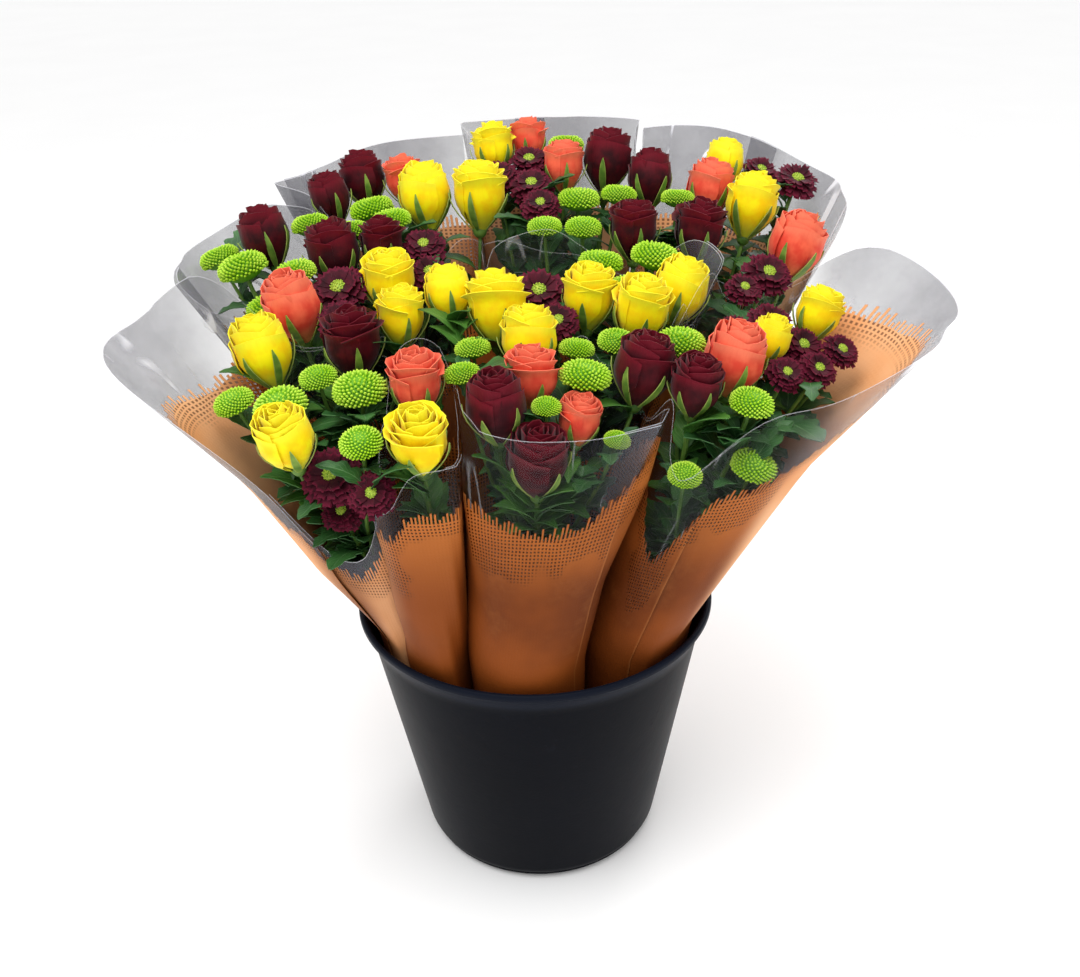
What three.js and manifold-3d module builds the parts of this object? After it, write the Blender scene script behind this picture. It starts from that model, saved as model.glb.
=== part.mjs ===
// A mixed flower bouquet display: nine tied bunches of spray roses and button chrysanthemums,
// each in its own printed film sleeve, standing in water in one black bucket.
// Millimetres, +Z up, origin at the centre of the bucket's underside, viewer's side towards -Y.
import * as THREE from "three";
import { mergeVertices } from "three/addons/utils/BufferGeometryUtils.js";
import Module from "manifold-3d";

const wasm = await Module();
wasm.setup();

// The bucket: a tapered tub, 300 across the rim, with a flared lip.
const RIM_RADIUS = 150;
const BUCKET_HEIGHT = 236;
const BASE_RADIUS = 104;
const LIP_START = 216;
const WALL_RADIUS_AT_LIP = 141.5;
const BUCKET_WALL = 2.5;
const FLOOR_THICKNESS = 4;
const BUCKET_SIDES = 36;
const WATER_DEPTH = 58;
const STEM_HOLE = 18;
const SEAT_GAP = 0.3;

// The sleeves: thin film cones, cut high at the back and low at the front.
const FILM_THICKNESS = 0.8;
const FILM_MITRE = 0.6;
const SLEEVE_FOOT = 80;
const SLEEVE_SIDES = 14;
const SLEEVE_RIM_RADIUS = 46;
const SLEEVE_FLARE = 0.0014;
const FLARE_END = 540;
const SLEEVE_GAP = 0.5;
const SLEEVE_PARTING = 0.015;
const BLOOM_LEVEL = 470;
const FOOT_DRAW_IN = 0.68;
const FILM_CREASES = [SLEEVE_FOOT, BUCKET_HEIGHT, 305, 390, FLARE_END];
const FILM_LOOKS = 6;
const FILM_MARGIN = 5;

// The stems, their rubber bands and their leaves.
const TIE_HEIGHT = 205;
const BAND_HEIGHT = 199;
const STEM_RADIUS = 2.4;
const BRANCH_RADIUS = 1.5;
const STEM_GAP = 0.5;
const FOOT_SPREAD = 9;
const TIE_THICKNESS = 2.2;
const BAND_SIDES = 7;
const STEMS_KEPT_IN = 390;
const STEM_TO_FILM = 6;
const STEM_STEPS = 4;
const BRANCH_STEPS = 2;
const LEAF_LENGTH = 46;
const LEAF_WIDTH = 25;
const LEAF_THICKNESS = 0.8;
const LEAVES_PER_SPRAY = 2;
const LEAF_TRIES = 120;
const LEAF_ROOM = 5;
const LEAF_TO_FILM = 11;
// A leaf's outline: how wide each side is, as a share, along the leaf from stalk to tip.
const LEAF_EDGE = [[0.3, 0.95], [0.68, 0.74]];
const CLEARANCE = 1.4;
const MOST_ROUNDS = 900;

// Where the photograph was taken from, which turns a spot in it into a place among the blooms.
const VIEW = { elevation: 33.12, distance: 1000, aim: [6.9, 0, 331.2], focal: 1163.5, roll: -1.7 };
const PHOTO_CENTRE = [540, 488.5];
// The blooms lie on a slope that rises to the back and falls away to both sides.
const SLOPE = { height: 484, rise: 0.35, fall: 0.0003 };

// Each bunch: its middle at the rim and at the blooms, its share of the room against its
// neighbours, the way its film opens with how much it opens that way and across it, and how high
// the film reaches at its right, back, left and front. A notch is where the wrap gapes open.
const BUNCHES = {
  left: { rim: [-105, -40], top: [-158, -78], share: 1, opens: 172, flare: [0.9, 0.45],
    mouth: [430, 508, 496, 440], notch: { angle: -100, width: 35, depth: 110 } },
  front_left: { rim: [-65, -72], top: [-80, -100], share: 0.5, opens: -100, flare: [0.3, 0.3],
    mouth: [450, 480, 440, 430] },
  front: { rim: [-8, -92], top: [24, -88], share: 1.25, opens: -85, flare: [0.3, 1],
    mouth: [455, 500, 475, 448] },
  right: { rim: [82, -62], top: [166, -62], share: 1.2, opens: 28, flare: [1, 0.6],
    mouth: [496, 538, 470, 466] },
  back_right: { rim: [92, 48], top: [152, 136], share: 1, opens: 30, flare: [0.45, 0.7],
    mouth: [535, 558, 556, 490] },
  back: { rim: [25, 92], top: [32, 155], share: 1, opens: 85, flare: [0.25, 1],
    mouth: [572, 577, 572, 500] },
  back_left: { rim: [-42, 85], top: [-100, 143], share: 1, opens: 110, flare: [0.25, 0.8],
    mouth: [568, 562, 540, 500] },
  far_left: { rim: [-96, 32], top: [-165, 76], share: 1, opens: 160, flare: [0.56, 0.6],
    mouth: [505, 530, 506, 485] },
  middle: { rim: [20, -2], top: [66, 12], share: 0.9, opens: 0, flare: [0.6, 0.6],
    mouth: [510, 540, 520, 500] },
};

// The blooms, by kind: the middle of each in the photograph, across then down, its size against
// the usual bloom of its kind, and how deep it sits below the others.
const BLOOMS = {
  yellow_rose: {
    colour: 0xf6d313,
    spots: [[417, 204, 1.1], [463, 201, 1.1], [496, 156, 0.9], [380, 286, 1], [402, 322, 0.9],
      [264, 357, 1.1], [499, 316, 1.1], [536, 345, 1], [450, 300, 0.9], [607, 306, 1], [658, 314, 1.05],
      [708, 297, 1.05], [738, 208, 1.05], [733, 169, 0.85], [806, 322, 0.85], [293, 447, 1],
      [420, 447, 1], [764, 352, 0.75]],
  },
  coral_rose: {
    colour: 0xf4684a,
    spots: [[291, 311, 1.1], [416, 389, 0.95], [387, 190, 0.8], [531, 151, 0.8], [550, 168, 0.85],
      [543, 383, 0.9], [708, 197, 0.95], [793, 253, 1.1], [733, 357, 1.1], [569, 421, 0.75, 12]],
  },
  burgundy_rose: {
    colour: 0x7d1230,
    spots: [[328, 205, 0.85], [363, 195, 0.95], [279, 243, 1], [325, 256, 1.05], [349, 352, 1.05],
      [375, 246, 0.85], [507, 407, 1.05], [538, 467, 1.05, 26], [598, 167, 1.05], [655, 186, 0.95],
      [636, 237, 0.95], [698, 238, 1], [650, 372, 1.05], [686, 380, 0.9]],
  },
  green_button: {
    colour: 0x76bd22,
    spots: [[228, 264, 0.95], [254, 271, 1.15], [300, 272, 0.95], [246, 323, 1.05], [213, 338, 0.85],
      [316, 225, 0.9], [349, 217, 1.05], [381, 220, 0.95], [337, 234, 0.9], [319, 379, 0.8],
      [359, 391, 1.1], [242, 404, 0.85], [278, 407, 1.1], [472, 351, 0.75], [463, 374, 0.75],
      [562, 147, 0.9], [582, 200, 1], [609, 197, 0.85], [684, 196, 0.8], [546, 228, 0.8],
      [582, 229, 0.85], [614, 268, 1], [671, 264, 1.1], [658, 289, 0.9], [631, 337, 0.8],
      [689, 339, 1.05], [595, 351, 0.75], [573, 375, 1.05], [746, 396, 0.9], [552, 408, 0.6],
      [361, 444, 0.85], [617, 441, 0.55, 20], [754, 468, 0.95, 38], [685, 476, 0.7, 38]],
  },
  burgundy_daisy: {
    colour: 0x5c0f26,
    spots: [[341, 289, 1.1], [326, 318, 0.85], [424, 246, 0.85], [420, 275, 0.8], [507, 178, 0.9],
      [527, 185, 0.9], [545, 201, 0.8], [536, 160, 0.85], [555, 296, 1.05], [561, 320, 0.75],
      [765, 275, 0.95], [785, 180, 0.95], [760, 173, 0.8], [744, 288, 0.7], [779, 327, 0.85],
      [753, 336, 0.7], [789, 350, 0.8], [775, 364, 0.7], [818, 350, 0.7], [808, 368, 0.7],
      [335, 488, 1.05, 28], [362, 492, 0.8, 28], [334, 527, 0.75, 52]],
  },
};

// A bloom's outline, ring by ring from its base: radius, height, and how far its petals stand
// out and up from that ring. side is 1 or -1 and sets which way the petals of that ring fall.
const ROSE = {
  length: 50, radius: 19, petals: 5, last: 44,
  rings: [
    { radius: 16, height: 15, out: 0.05, up: 0, side: 1 },
    { radius: 17, height: 39, out: 0.14, up: 3.5, side: 1 },
    { radius: 10.5, height: 34, out: 0, up: 0, side: 1 },
    { radius: 8.5, height: 47, out: 0.12, up: 1.5, side: -1 },
  ],
};
const BUTTON = {
  length: 15, radius: 17, petals: 4, last: 16.5,
  rings: [
    { radius: 16, height: 4.5, out: 0.06, up: 0.6, side: 1 },
    { radius: 15, height: 10, out: 0.1, up: 0.8, side: -1 },
    { radius: 9, height: 15, out: 0.12, up: 0.8, side: 1 },
  ],
};
const DAISY = {
  length: 6, radius: 17, petals: 8, last: 6.5,
  rings: [
    { radius: 13.5, height: 4.5, out: 0.26, up: 0.8, side: 1 },
    { radius: 5, height: 3.5, out: 0, up: 0, side: 1 },
  ],
};
const FORM = {
  yellow_rose: ROSE, coral_rose: ROSE, burgundy_rose: ROSE, green_button: BUTTON, burgundy_daisy: DAISY,
};

// A seeded draw, so that every build is the same.
let seed = 20;
function draw(low, high) {
  seed = (seed * 16807) % 2147483647;
  return low + ((high - low) * seed) / 2147483647;
}

// How blooms find their bunch and settle beside each other.
const LONE_BLOOM_SHIFT = 1.45;
const SETTLING_ROUNDS = 160;
const BLOOM_TO_FILM = 4;
const BLOOM_TO_BLOOM = 3.6;
const SIDEWAYS = 0.3;
const FACING_UP = 0.35;
const FILM_PUSH = 0.1;

const radians = THREE.MathUtils.degToRad;
const vec = (x, y, z) => new THREE.Vector3(x, y, z);

// The bucket's inner radius at a height.
function bucketInside(z) {
  return BASE_RADIUS + ((WALL_RADIUS_AT_LIP - BASE_RADIUS) * Math.min(z, LIP_START)) / LIP_START - BUCKET_WALL;
}

// The middle of a bunch at a height: drawn in towards the bucket's floor, spread above the rim.
function bunchCentre(bunch, z) {
  const [x, y] = bunch.rim;
  if (z < BUCKET_HEIGHT) {
    const share = FOOT_DRAW_IN + ((1 - FOOT_DRAW_IN) * z) / BUCKET_HEIGHT;
    return [x * share, y * share];
  }
  const lean = (z - BUCKET_HEIGHT) / (BLOOM_LEVEL - BUCKET_HEIGHT);
  return [x + (bunch.top[0] - x) * lean, y + (bunch.top[1] - y) * lean];
}

// How far a sleeve stands from its bunch's middle in one direction: as wide as its film opens,
// but no further than the sleeves beside it and the bucket's wall let it.
function roomFor(bunch, z, angle) {
  const [cx, cy] = bunchCentre(bunch, z);
  const [ux, uy] = [Math.cos(angle), Math.sin(angle)];
  const above = Math.max(0, Math.min(z, FLARE_END) - BUCKET_HEIGHT);
  const [out, side] = bunch.flare.map((much) => SLEEVE_RIM_RADIUS + SLEEVE_FLARE * above * above * much);
  const turn = angle - radians(bunch.opens);
  let radius = 1 / Math.hypot(Math.cos(turn) / out, Math.sin(turn) / side);
  for (const other of Object.values(BUNCHES)) {
    const [ox, oy] = bunchCentre(other, z);
    const [dx, dy] = [ox - cx, oy - cy];
    const along = dx * ux + dy * uy;
    const apart = Math.hypot(dx, dy);
    const room = (apart * bunch.share) / (bunch.share + other.share) - SLEEVE_GAP - SLEEVE_PARTING * above;
    if (along > 0) radius = Math.min(radius, (room * apart) / along);
  }
  if (z <= BUCKET_HEIGHT) {
    const wall = bucketInside(z) * Math.cos(Math.PI / BUCKET_SIDES) - SEAT_GAP;
    const out = cx * ux + cy * uy;
    radius = Math.min(radius, Math.sqrt(out * out - cx * cx - cy * cy + wall * wall) - out);
  }
  return radius;
}

// The film runs straight from each of its creases to the next.
function sleeveRadius(bunch, z, angle) {
  const next = Math.max(1, FILM_CREASES.findIndex((crease) => crease === FLARE_END || crease >= z));
  const [low, high] = [FILM_CREASES[next - 1], FILM_CREASES[next]];
  return THREE.MathUtils.mapLinear(z, low, high, roomFor(bunch, low, angle), roomFor(bunch, high, angle));
}

// The height that a sleeve's film is cut to in one direction.
function mouthHeight(bunch, angle) {
  const [right, back, left, front] = bunch.mouth;
  const [across, along] = [Math.cos(angle), Math.sin(angle)];
  const side = across > 0 ? right : left;
  const end = along > 0 ? back : front;
  let height = side * across * across + end * along * along;
  if (bunch.notch) {
    const turn = Math.atan2(Math.sin(angle - radians(bunch.notch.angle)), Math.cos(angle - radians(bunch.notch.angle)));
    height -= bunch.notch.depth * Math.exp(-((turn / radians(bunch.notch.width)) ** 2));
  }
  return height;
}

// The place among the blooms that a spot in the photograph shows.
function spotToPlace([across, down, , sunk = 0]) {
  const tilt = radians(VIEW.elevation);
  const eye = vec(0, -Math.cos(tilt) * VIEW.distance, BUCKET_HEIGHT + Math.sin(tilt) * VIEW.distance);
  const ahead = vec(...VIEW.aim).sub(eye).normalize();
  const right = ahead.clone().cross(vec(0, 0, 1)).normalize();
  const up = right.clone().cross(ahead);
  const [dx, dy] = [across - PHOTO_CENTRE[0], down - PHOTO_CENTRE[1]];
  const [cos, sin] = [Math.cos(radians(VIEW.roll)), Math.sin(radians(VIEW.roll))];
  const ray = ahead.multiplyScalar(VIEW.focal);
  ray.addScaledVector(right, cos * dx + sin * dy).addScaledVector(up, sin * dx - cos * dy);
  ray.divideScalar(VIEW.focal);
  // Where the ray meets z = height + rise y - fall x^2.
  const a = SLOPE.fall * ray.x * ray.x;
  const b = ray.z - SLOPE.rise * ray.y;
  const c = eye.z - SLOPE.height + sunk - SLOPE.rise * eye.y;
  const reach = a < 1e-9 ? -c / b : (-b - Math.sqrt(b * b - 4 * a * c)) / (2 * a);
  return eye.addScaledVector(ray, reach);
}

// Every bloom as a head: its middle, which bunch it is in, and the way it faces. A bloom belongs
// to the nearest bunch, but one that is alone of its kind there joins its like close by.
function placeHeads() {
  const heads = [];
  for (const [kind, { spots }] of Object.entries(BLOOMS)) {
    for (const spot of spots) {
      const size = spot[2];
      heads.push({ kind, size, middle: spotToPlace(spot), radius: FORM[kind].radius * size });
    }
  }
  const far = (head, name) => {
    const [x, y] = bunchCentre(BUNCHES[name], head.middle.z);
    return Math.hypot(head.middle.x - x, head.middle.y - y) / Math.sqrt(BUNCHES[name].share);
  };
  for (const head of heads) {
    head.near = Object.keys(BUNCHES).sort((a, b) => far(head, a) - far(head, b));
    head.bunch = head.near[0];
  }
  for (const head of heads) {
    const likes = (name) => heads.some((h) => h !== head && h.bunch === name && h.kind === head.kind);
    if (likes(head.bunch)) continue;
    const other = head.near.find(likes);
    if (far(head, other) < LONE_BLOOM_SHIFT * far(head, head.bunch)) head.bunch = other;
  }
  for (let round = 0; round < SETTLING_ROUNDS; round++) {
    for (let i = 0; i < heads.length; i++) {
      for (let j = 0; j < i; j++) keepApart(heads[i], heads[j]);
    }
    if (round < SETTLING_ROUNDS / 2) heads.forEach(keepInFilm);
  }
  for (const head of heads) {
    const root = vec(...bunchCentre(BUNCHES[head.bunch], BUCKET_HEIGHT), BUCKET_HEIGHT - 40);
    head.facing = head.middle.clone().sub(root).normalize().add(vec(0, 0, FACING_UP)).normalize();
    head.base = head.middle.clone().addScaledVector(head.facing, (-FORM[head.kind].length * head.size) / 2);
  }
  return heads;
}

// Two blooms that are too near each other each give way by half, mostly sideways.
function keepApart(one, other) {
  const apart = one.middle.clone().sub(other.middle);
  const flat = one.kind === "burgundy_daisy" || other.kind === "burgundy_daisy";
  const short = (one.radius + other.radius) * (flat ? 0.97 : 1) + BLOOM_TO_BLOOM - apart.length();
  if (short <= 0) return;
  apart.z *= SIDEWAYS;
  apart.setLength(short / 2);
  one.middle.add(apart);
  other.middle.sub(apart);
}

// A bloom that leans out over its bunch's film gives way towards the bunch's middle.
function keepInFilm(head) {
  const [x, y] = bunchCentre(BUNCHES[head.bunch], head.middle.z);
  const [dx, dy] = [head.middle.x - x, head.middle.y - y];
  const away = Math.hypot(dx, dy);
  const over = away + head.radius + BLOOM_TO_FILM - roomFor(BUNCHES[head.bunch], head.middle.z, Math.atan2(dy, dx));
  const outward = dx * x + dy * y > 0;
  if (over <= 0 || !outward) return;
  const give = Math.min(over * FILM_PUSH, away) / away;
  head.middle.x -= dx * give;
  head.middle.y -= dy * give;
}

// Beads are the room that things take up: places with a radius, each owned by one spray.
const beads = [];
function addBeads(points, radius, owner) {
  for (const point of points) beads.push({ point, radius, owner });
}
function isClear(points, radius, owner) {
  return points.every((p) =>
    beads.every((bead) => {
      const room = radius + bead.radius + CLEARANCE;
      return bead.owner === owner || p.distanceToSquared(bead.point) >= room * room;
    }),
  );
}

function headBeads(head, owner) {
  const { middle, facing, radius, kind } = head;
  if (kind === "green_button") {
    addBeads([middle], radius * 0.97, owner);
  } else if (kind === "burgundy_daisy") {
    const across = vec(0, 1, 0).cross(facing).normalize();
    const round = [];
    for (let i = 0; i < 8; i++) {
      round.push(across.clone().applyAxisAngle(facing, (i * Math.PI) / 4).multiplyScalar(radius * 0.66).add(middle));
    }
    addBeads(round, radius * 0.36, owner);
    addBeads([middle], radius * 0.55, owner);
  } else {
    for (const share of [-0.42, -0.2, 0.05, 0.3]) {
      const point = middle.clone().addScaledVector(facing, share * ROSE.length * head.size);
      addBeads([point], radius * (share < -0.3 ? 0.6 : 0.98), owner);
    }
  }
}

// Places three millimetres apart at most along a path of straight steps.
function placesAlong(path) {
  const places = [path[0]];
  for (let i = 1; i < path.length; i++) {
    const parts = Math.ceil(path[i].distanceTo(path[i - 1]) / 3);
    for (let k = 1; k <= parts; k++) places.push(path[i - 1].clone().lerp(path[i], k / parts));
  }
  return places;
}

// A spray's main stem: from the bucket's floor through the rubber band up to its first bloom.
function stemPath(spray, bend) {
  const { bunch, turn, tied } = spray;
  const at = (z, out) => {
    const [x, y] = bunchCentre(bunch, z);
    return vec(x + out * Math.cos(turn), y + out * Math.sin(turn), z);
  };
  const knot = at(TIE_HEIGHT, tied);
  const { base, facing } = spray.heads[0];
  const rising = at(TIE_HEIGHT + 90, tied * 2.5);
  const below = base.clone().addScaledVector(facing, -60).add(bend);
  const curve = new THREE.CubicBezierCurve3(knot, rising, below, base);
  return [at(FLOOR_THICKNESS + 2 * SEAT_GAP, FOOT_SPREAD), ...curve.getPoints(STEM_STEPS)];
}

// A branch: from its fork on the stem up to a bloom.
function branchPath(spray, head, bend) {
  const fork = spray.stem[STEM_STEPS - 2].clone().lerp(spray.stem[STEM_STEPS - 1], draw(0, 1));
  const below = head.base.clone().addScaledVector(head.facing, -30).add(bend);
  return new THREE.QuadraticBezierCurve3(fork, below, head.base).getPoints(BRANCH_STEPS);
}

// Draws bends, wider each time, until a path to a bloom is clear of all that is already there
// and stays within its sleeve for as long as it can.
function clearPath(spray, head, radius, makePath) {
  const inSleeve = Math.min(STEMS_KEPT_IN, head.base.z - 35);
  for (let round = 0; ; round++) {
    const reach = round * 0.1;
    const path = makePath(vec(draw(-reach, reach), draw(-reach, reach), draw(-reach, reach)));
    const places = placesAlong(path).filter((place) => place.z > TIE_HEIGHT + 30);
    const kept = places.every((place) => place.z > inSleeve || insideSleeve(spray.bunch, place, radius + STEM_TO_FILM));
    if (round === MOST_ROUNDS || (kept && isClear(places, radius, spray.name))) {
      addBeads(places, radius, spray.name);
      return path;
    }
  }
}

// Sprays: the blooms of one kind in one bunch, on one stem. In a bunch the stems stand in a ring
// in the order of the blooms that they carry.
function growSprays(heads) {
  const sprays = [];
  for (const [name, bunch] of Object.entries(BUNCHES)) {
    const [x, y] = bunchCentre(bunch, BLOOM_LEVEL);
    const own = [];
    for (const kind of Object.keys(BLOOMS)) {
      const blooms = heads.filter((head) => head.bunch === name && head.kind === kind);
      if (!blooms.length) continue;
      const middle = vec(0, 0, 0);
      for (const head of blooms) middle.addScaledVector(head.middle, 1 / blooms.length);
      blooms.sort((a, b) => a.middle.distanceTo(middle) - b.middle.distanceTo(middle));
      const bearing = Math.atan2(middle.y - y, middle.x - x);
      own.push({ name: `${name}_${kind}`, bunch, kind, heads: blooms, bearing });
    }
    own.sort((a, b) => a.bearing - b.bearing);
    const slotTurn = (slot) => (2 * Math.PI * slot) / own.length;
    const total = (wave) => own.reduce((sum, spray, slot) => sum + wave(spray.bearing - slotTurn(slot)), 0);
    const start = Math.atan2(total(Math.sin), total(Math.cos));
    own.forEach((spray, slot) => {
      spray.turn = start + slotTurn(slot);
      spray.tied = own.length > 1 ? (STEM_RADIUS + STEM_GAP / 2) / Math.sin(Math.PI / own.length) : 0;
      for (const head of spray.heads) headBeads(head, spray.name);
    });
    bunch.tied = own[0].tied + STEM_RADIUS;
    sprays.push(...own);
  }
  for (const spray of sprays) {
    spray.stem = clearPath(spray, spray.heads[0], STEM_RADIUS, (bend) => stemPath(spray, bend));
  }
  for (const spray of sprays) {
    spray.branches = spray.heads.slice(1).map((head) =>
      clearPath(spray, head, BRANCH_RADIUS, (bend) => branchPath(spray, head, bend)),
    );
  }
  return sprays;
}

function geometryFrom(positions, faces) {
  const geometry = new THREE.BufferGeometry();
  geometry.setAttribute("position", new THREE.Float32BufferAttribute(positions, 3));
  geometry.setIndex(faces);
  return geometry;
}

// A stalk of three sides along its path, and the bloom that it ends in, as one closed shell.
function shootGeometry(path, radius, head) {
  const { rings, petals, last } = FORM[head.kind];
  const positions = [];
  const faces = [];
  const side = vec(1, 0, 0).applyQuaternion(new THREE.Quaternion().setFromUnitVectors(vec(0, 0, 1), head.facing));
  const across = side.clone();
  const stalk = [];
  for (let i = path.length - 1; i >= 0; i--) {
    const along = head.facing.clone();
    if (i < path.length - 1) along.subVectors(path[i + 1], path[Math.max(0, i - 1)]).normalize();
    across.addScaledVector(along, -across.dot(along)).normalize();
    const third = along.clone().cross(across);
    const corner = (k) => path[i].clone()
      .addScaledVector(across, radius * Math.cos((2 * Math.PI * k) / 3))
      .addScaledVector(third, radius * Math.sin((2 * Math.PI * k) / 3));
    stalk.unshift([corner(0), corner(1), corner(2)]);
  }
  stalk.flat().forEach((corner) => positions.push(...corner));
  faces.push(0, 2, 1);
  for (let i = 1; i < path.length; i++) {
    for (let k = 0; k < 3; k++) {
      const [a, b] = [3 * (i - 1) + k, 3 * (i - 1) + ((k + 1) % 3)];
      faces.push(a, b, b + 3, a, b + 3, a + 3);
    }
  }
  const sides = petals * 2;
  const up = head.facing.clone().cross(side);
  const place = new THREE.Matrix4().makeBasis(side, up, head.facing).scale(vec(head.size, head.size, head.size));
  place.setPosition(head.base);
  for (const ring of rings) {
    for (let i = 0; i < sides; i++) {
      const wave = ring.side * (i % 2 ? -1 : 1);
      const angle = (2 * Math.PI * i) / sides;
      const reach = ring.radius * (1 + ring.out * wave);
      const corner = vec(reach * Math.cos(angle), reach * Math.sin(angle), ring.height + ring.up * wave);
      positions.push(...corner.applyMatrix4(place));
    }
  }
  positions.push(...vec(0, 0, last).applyMatrix4(place));
  const top = positions.length / 3 - 1;
  const at = (ring, i) => 3 * path.length + ring * sides + (i % sides);
  for (let i = 0; i < sides; i++) {
    const [near, next] = [i, i + 1].map((n) => 3 * (path.length - 1) + (Math.round((3 * n) / sides) % 3));
    faces.push(near, at(0, i + 1), at(0, i));
    if (next !== near) faces.push(near, next, at(0, i + 1));
    for (let ring = 1; ring < rings.length; ring++) {
      faces.push(at(ring - 1, i), at(ring - 1, i + 1), at(ring, i + 1));
      faces.push(at(ring - 1, i), at(ring, i + 1), at(ring, i));
    }
    faces.push(at(rings.length - 1, i), at(rings.length - 1, i + 1), top);
  }
  return geometryFrom(positions, faces);
}

// A thin blade along +X, folded a little along its midrib and arched.
function leafGeometry() {
  const arch = (t) => 5 * Math.sin(Math.PI * t) - 6 * t * t;
  const rib = [0, 0.48, 1].map((t) => [t * LEAF_LENGTH, 0, arch(t)]);
  const edge = (side) => LEAF_EDGE.map(([t, w]) => [t * LEAF_LENGTH, (side * w * LEAF_WIDTH) / 2, arch(t) + 3 * w]);
  const loop = [rib[0], ...edge(-1), rib[2], ...edge(1).reverse()];
  const upper = [...loop, rib[1]];
  const lower = upper.map(([x, y, z]) => [x, y, z - LEAF_THICKNESS]);
  const count = loop.length;
  const faces = [];
  for (let i = 0; i < count; i++) {
    const next = (i + 1) % count;
    faces.push(i, next, count);
    faces.push(count + 1 + next, count + 1 + i, 2 * count + 1);
    faces.push(i, count + 1 + i, next);
    faces.push(next, count + 1 + i, count + 1 + next);
  }
  return geometryFrom([...upper, ...lower].flat(), faces);
}

// Leaves: some on each spray's stem and branches, turned until they are clear, or left off.
function growLeaves(sprays) {
  for (const spray of sprays) {
    spray.leaves = [];
    for (let n = 0; n < LEAVES_PER_SPRAY; n++) {
      for (let round = 0; round < LEAF_TRIES; round++) {
        const step = STEM_STEPS - 2 + Math.floor(draw(0, 2));
        const root = spray.stem[step].clone().lerp(spray.stem[step + 1], draw(0.1, 0.9));
        const turn = draw(0, 2 * Math.PI);
        const rise = draw(0.1, 0.9);
        const ahead = vec(Math.cos(turn), Math.sin(turn), rise).normalize();
        const frame = leafFrame(root, ahead, draw(0.8, 1.15));
        const points = leafPoints(frame);
        const inside = points.every((p) => insideSleeve(spray.bunch, p, LEAF_TO_FILM));
        if (inside && isClear(points, LEAF_ROOM, spray.name)) {
          addBeads(points, LEAF_ROOM, `${spray.name}_leaf`);
          addBeads([root], BRANCH_RADIUS, spray.name);
          spray.leaves.push(frame);
          break;
        }
      }
    }
  }
}

function leafFrame(root, ahead, size) {
  const across = vec(0, 0, 1).cross(ahead).normalize();
  const up = ahead.clone().cross(across);
  return new THREE.Matrix4().makeBasis(ahead, across, up).scale(vec(size, size, 1)).setPosition(root);
}

// Where a leaf's blade is, past its own stalk end, for the clearance test.
function leafPoints(frame) {
  const points = [];
  for (let t = 0.2; t <= 1; t += 0.13) {
    for (const w of [-0.34, 0, 0.34]) {
      if (w === 0 || (t > 0.2 && t < 0.8)) points.push(vec(t * LEAF_LENGTH, w * LEAF_WIDTH, 2).applyMatrix4(frame));
    }
  }
  return points;
}

// Whether a place is within the flat panels of a sleeve, by a margin.
function insideSleeve(bunch, point, margin) {
  const [x, y] = bunchCentre(bunch, point.z);
  const [dx, dy] = [point.x - x, point.y - y];
  const step = (2 * Math.PI) / SLEEVE_SIDES;
  const before = Math.floor(Math.atan2(dy, dx) / step) * step;
  const [a, b] = [before, before + step].map((angle) => {
    const radius = sleeveRadius(bunch, point.z, angle) - margin;
    return [radius * Math.cos(angle), radius * Math.sin(angle)];
  });
  return (b[0] - a[0]) * (dy - a[1]) - (b[1] - a[1]) * (dx - a[0]) > 0;
}

function wallPoint(bunch, z, angle, inset) {
  const [x, y] = bunchCentre(bunch, z);
  const radius = sleeveRadius(bunch, z, angle) - inset;
  return vec(x + radius * Math.cos(angle), y + radius * Math.sin(angle), z);
}

// The film rises to its cut edge, or stops under the first bloom or stalk that hangs over it.
function filmTop(bunch, angle) {
  const step = (2 * Math.PI) / SLEEVE_SIDES;
  let top = mouthHeight(bunch, angle);
  for (let k = -FILM_LOOKS + 2; k <= FILM_LOOKS - 2; k++) {
    for (let z = BUCKET_HEIGHT + 20; z < top; z += 3) {
      const beside = wallPoint(bunch, z, angle + Math.sign(k) * step, FILM_THICKNESS);
      const look = wallPoint(bunch, z, angle, FILM_THICKNESS).lerp(beside, Math.abs(k) / FILM_LOOKS);
      if (!isClear([look], FILM_MARGIN, null)) {
        top = z - 3;
        break;
      }
    }
  }
  return top;
}

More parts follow.
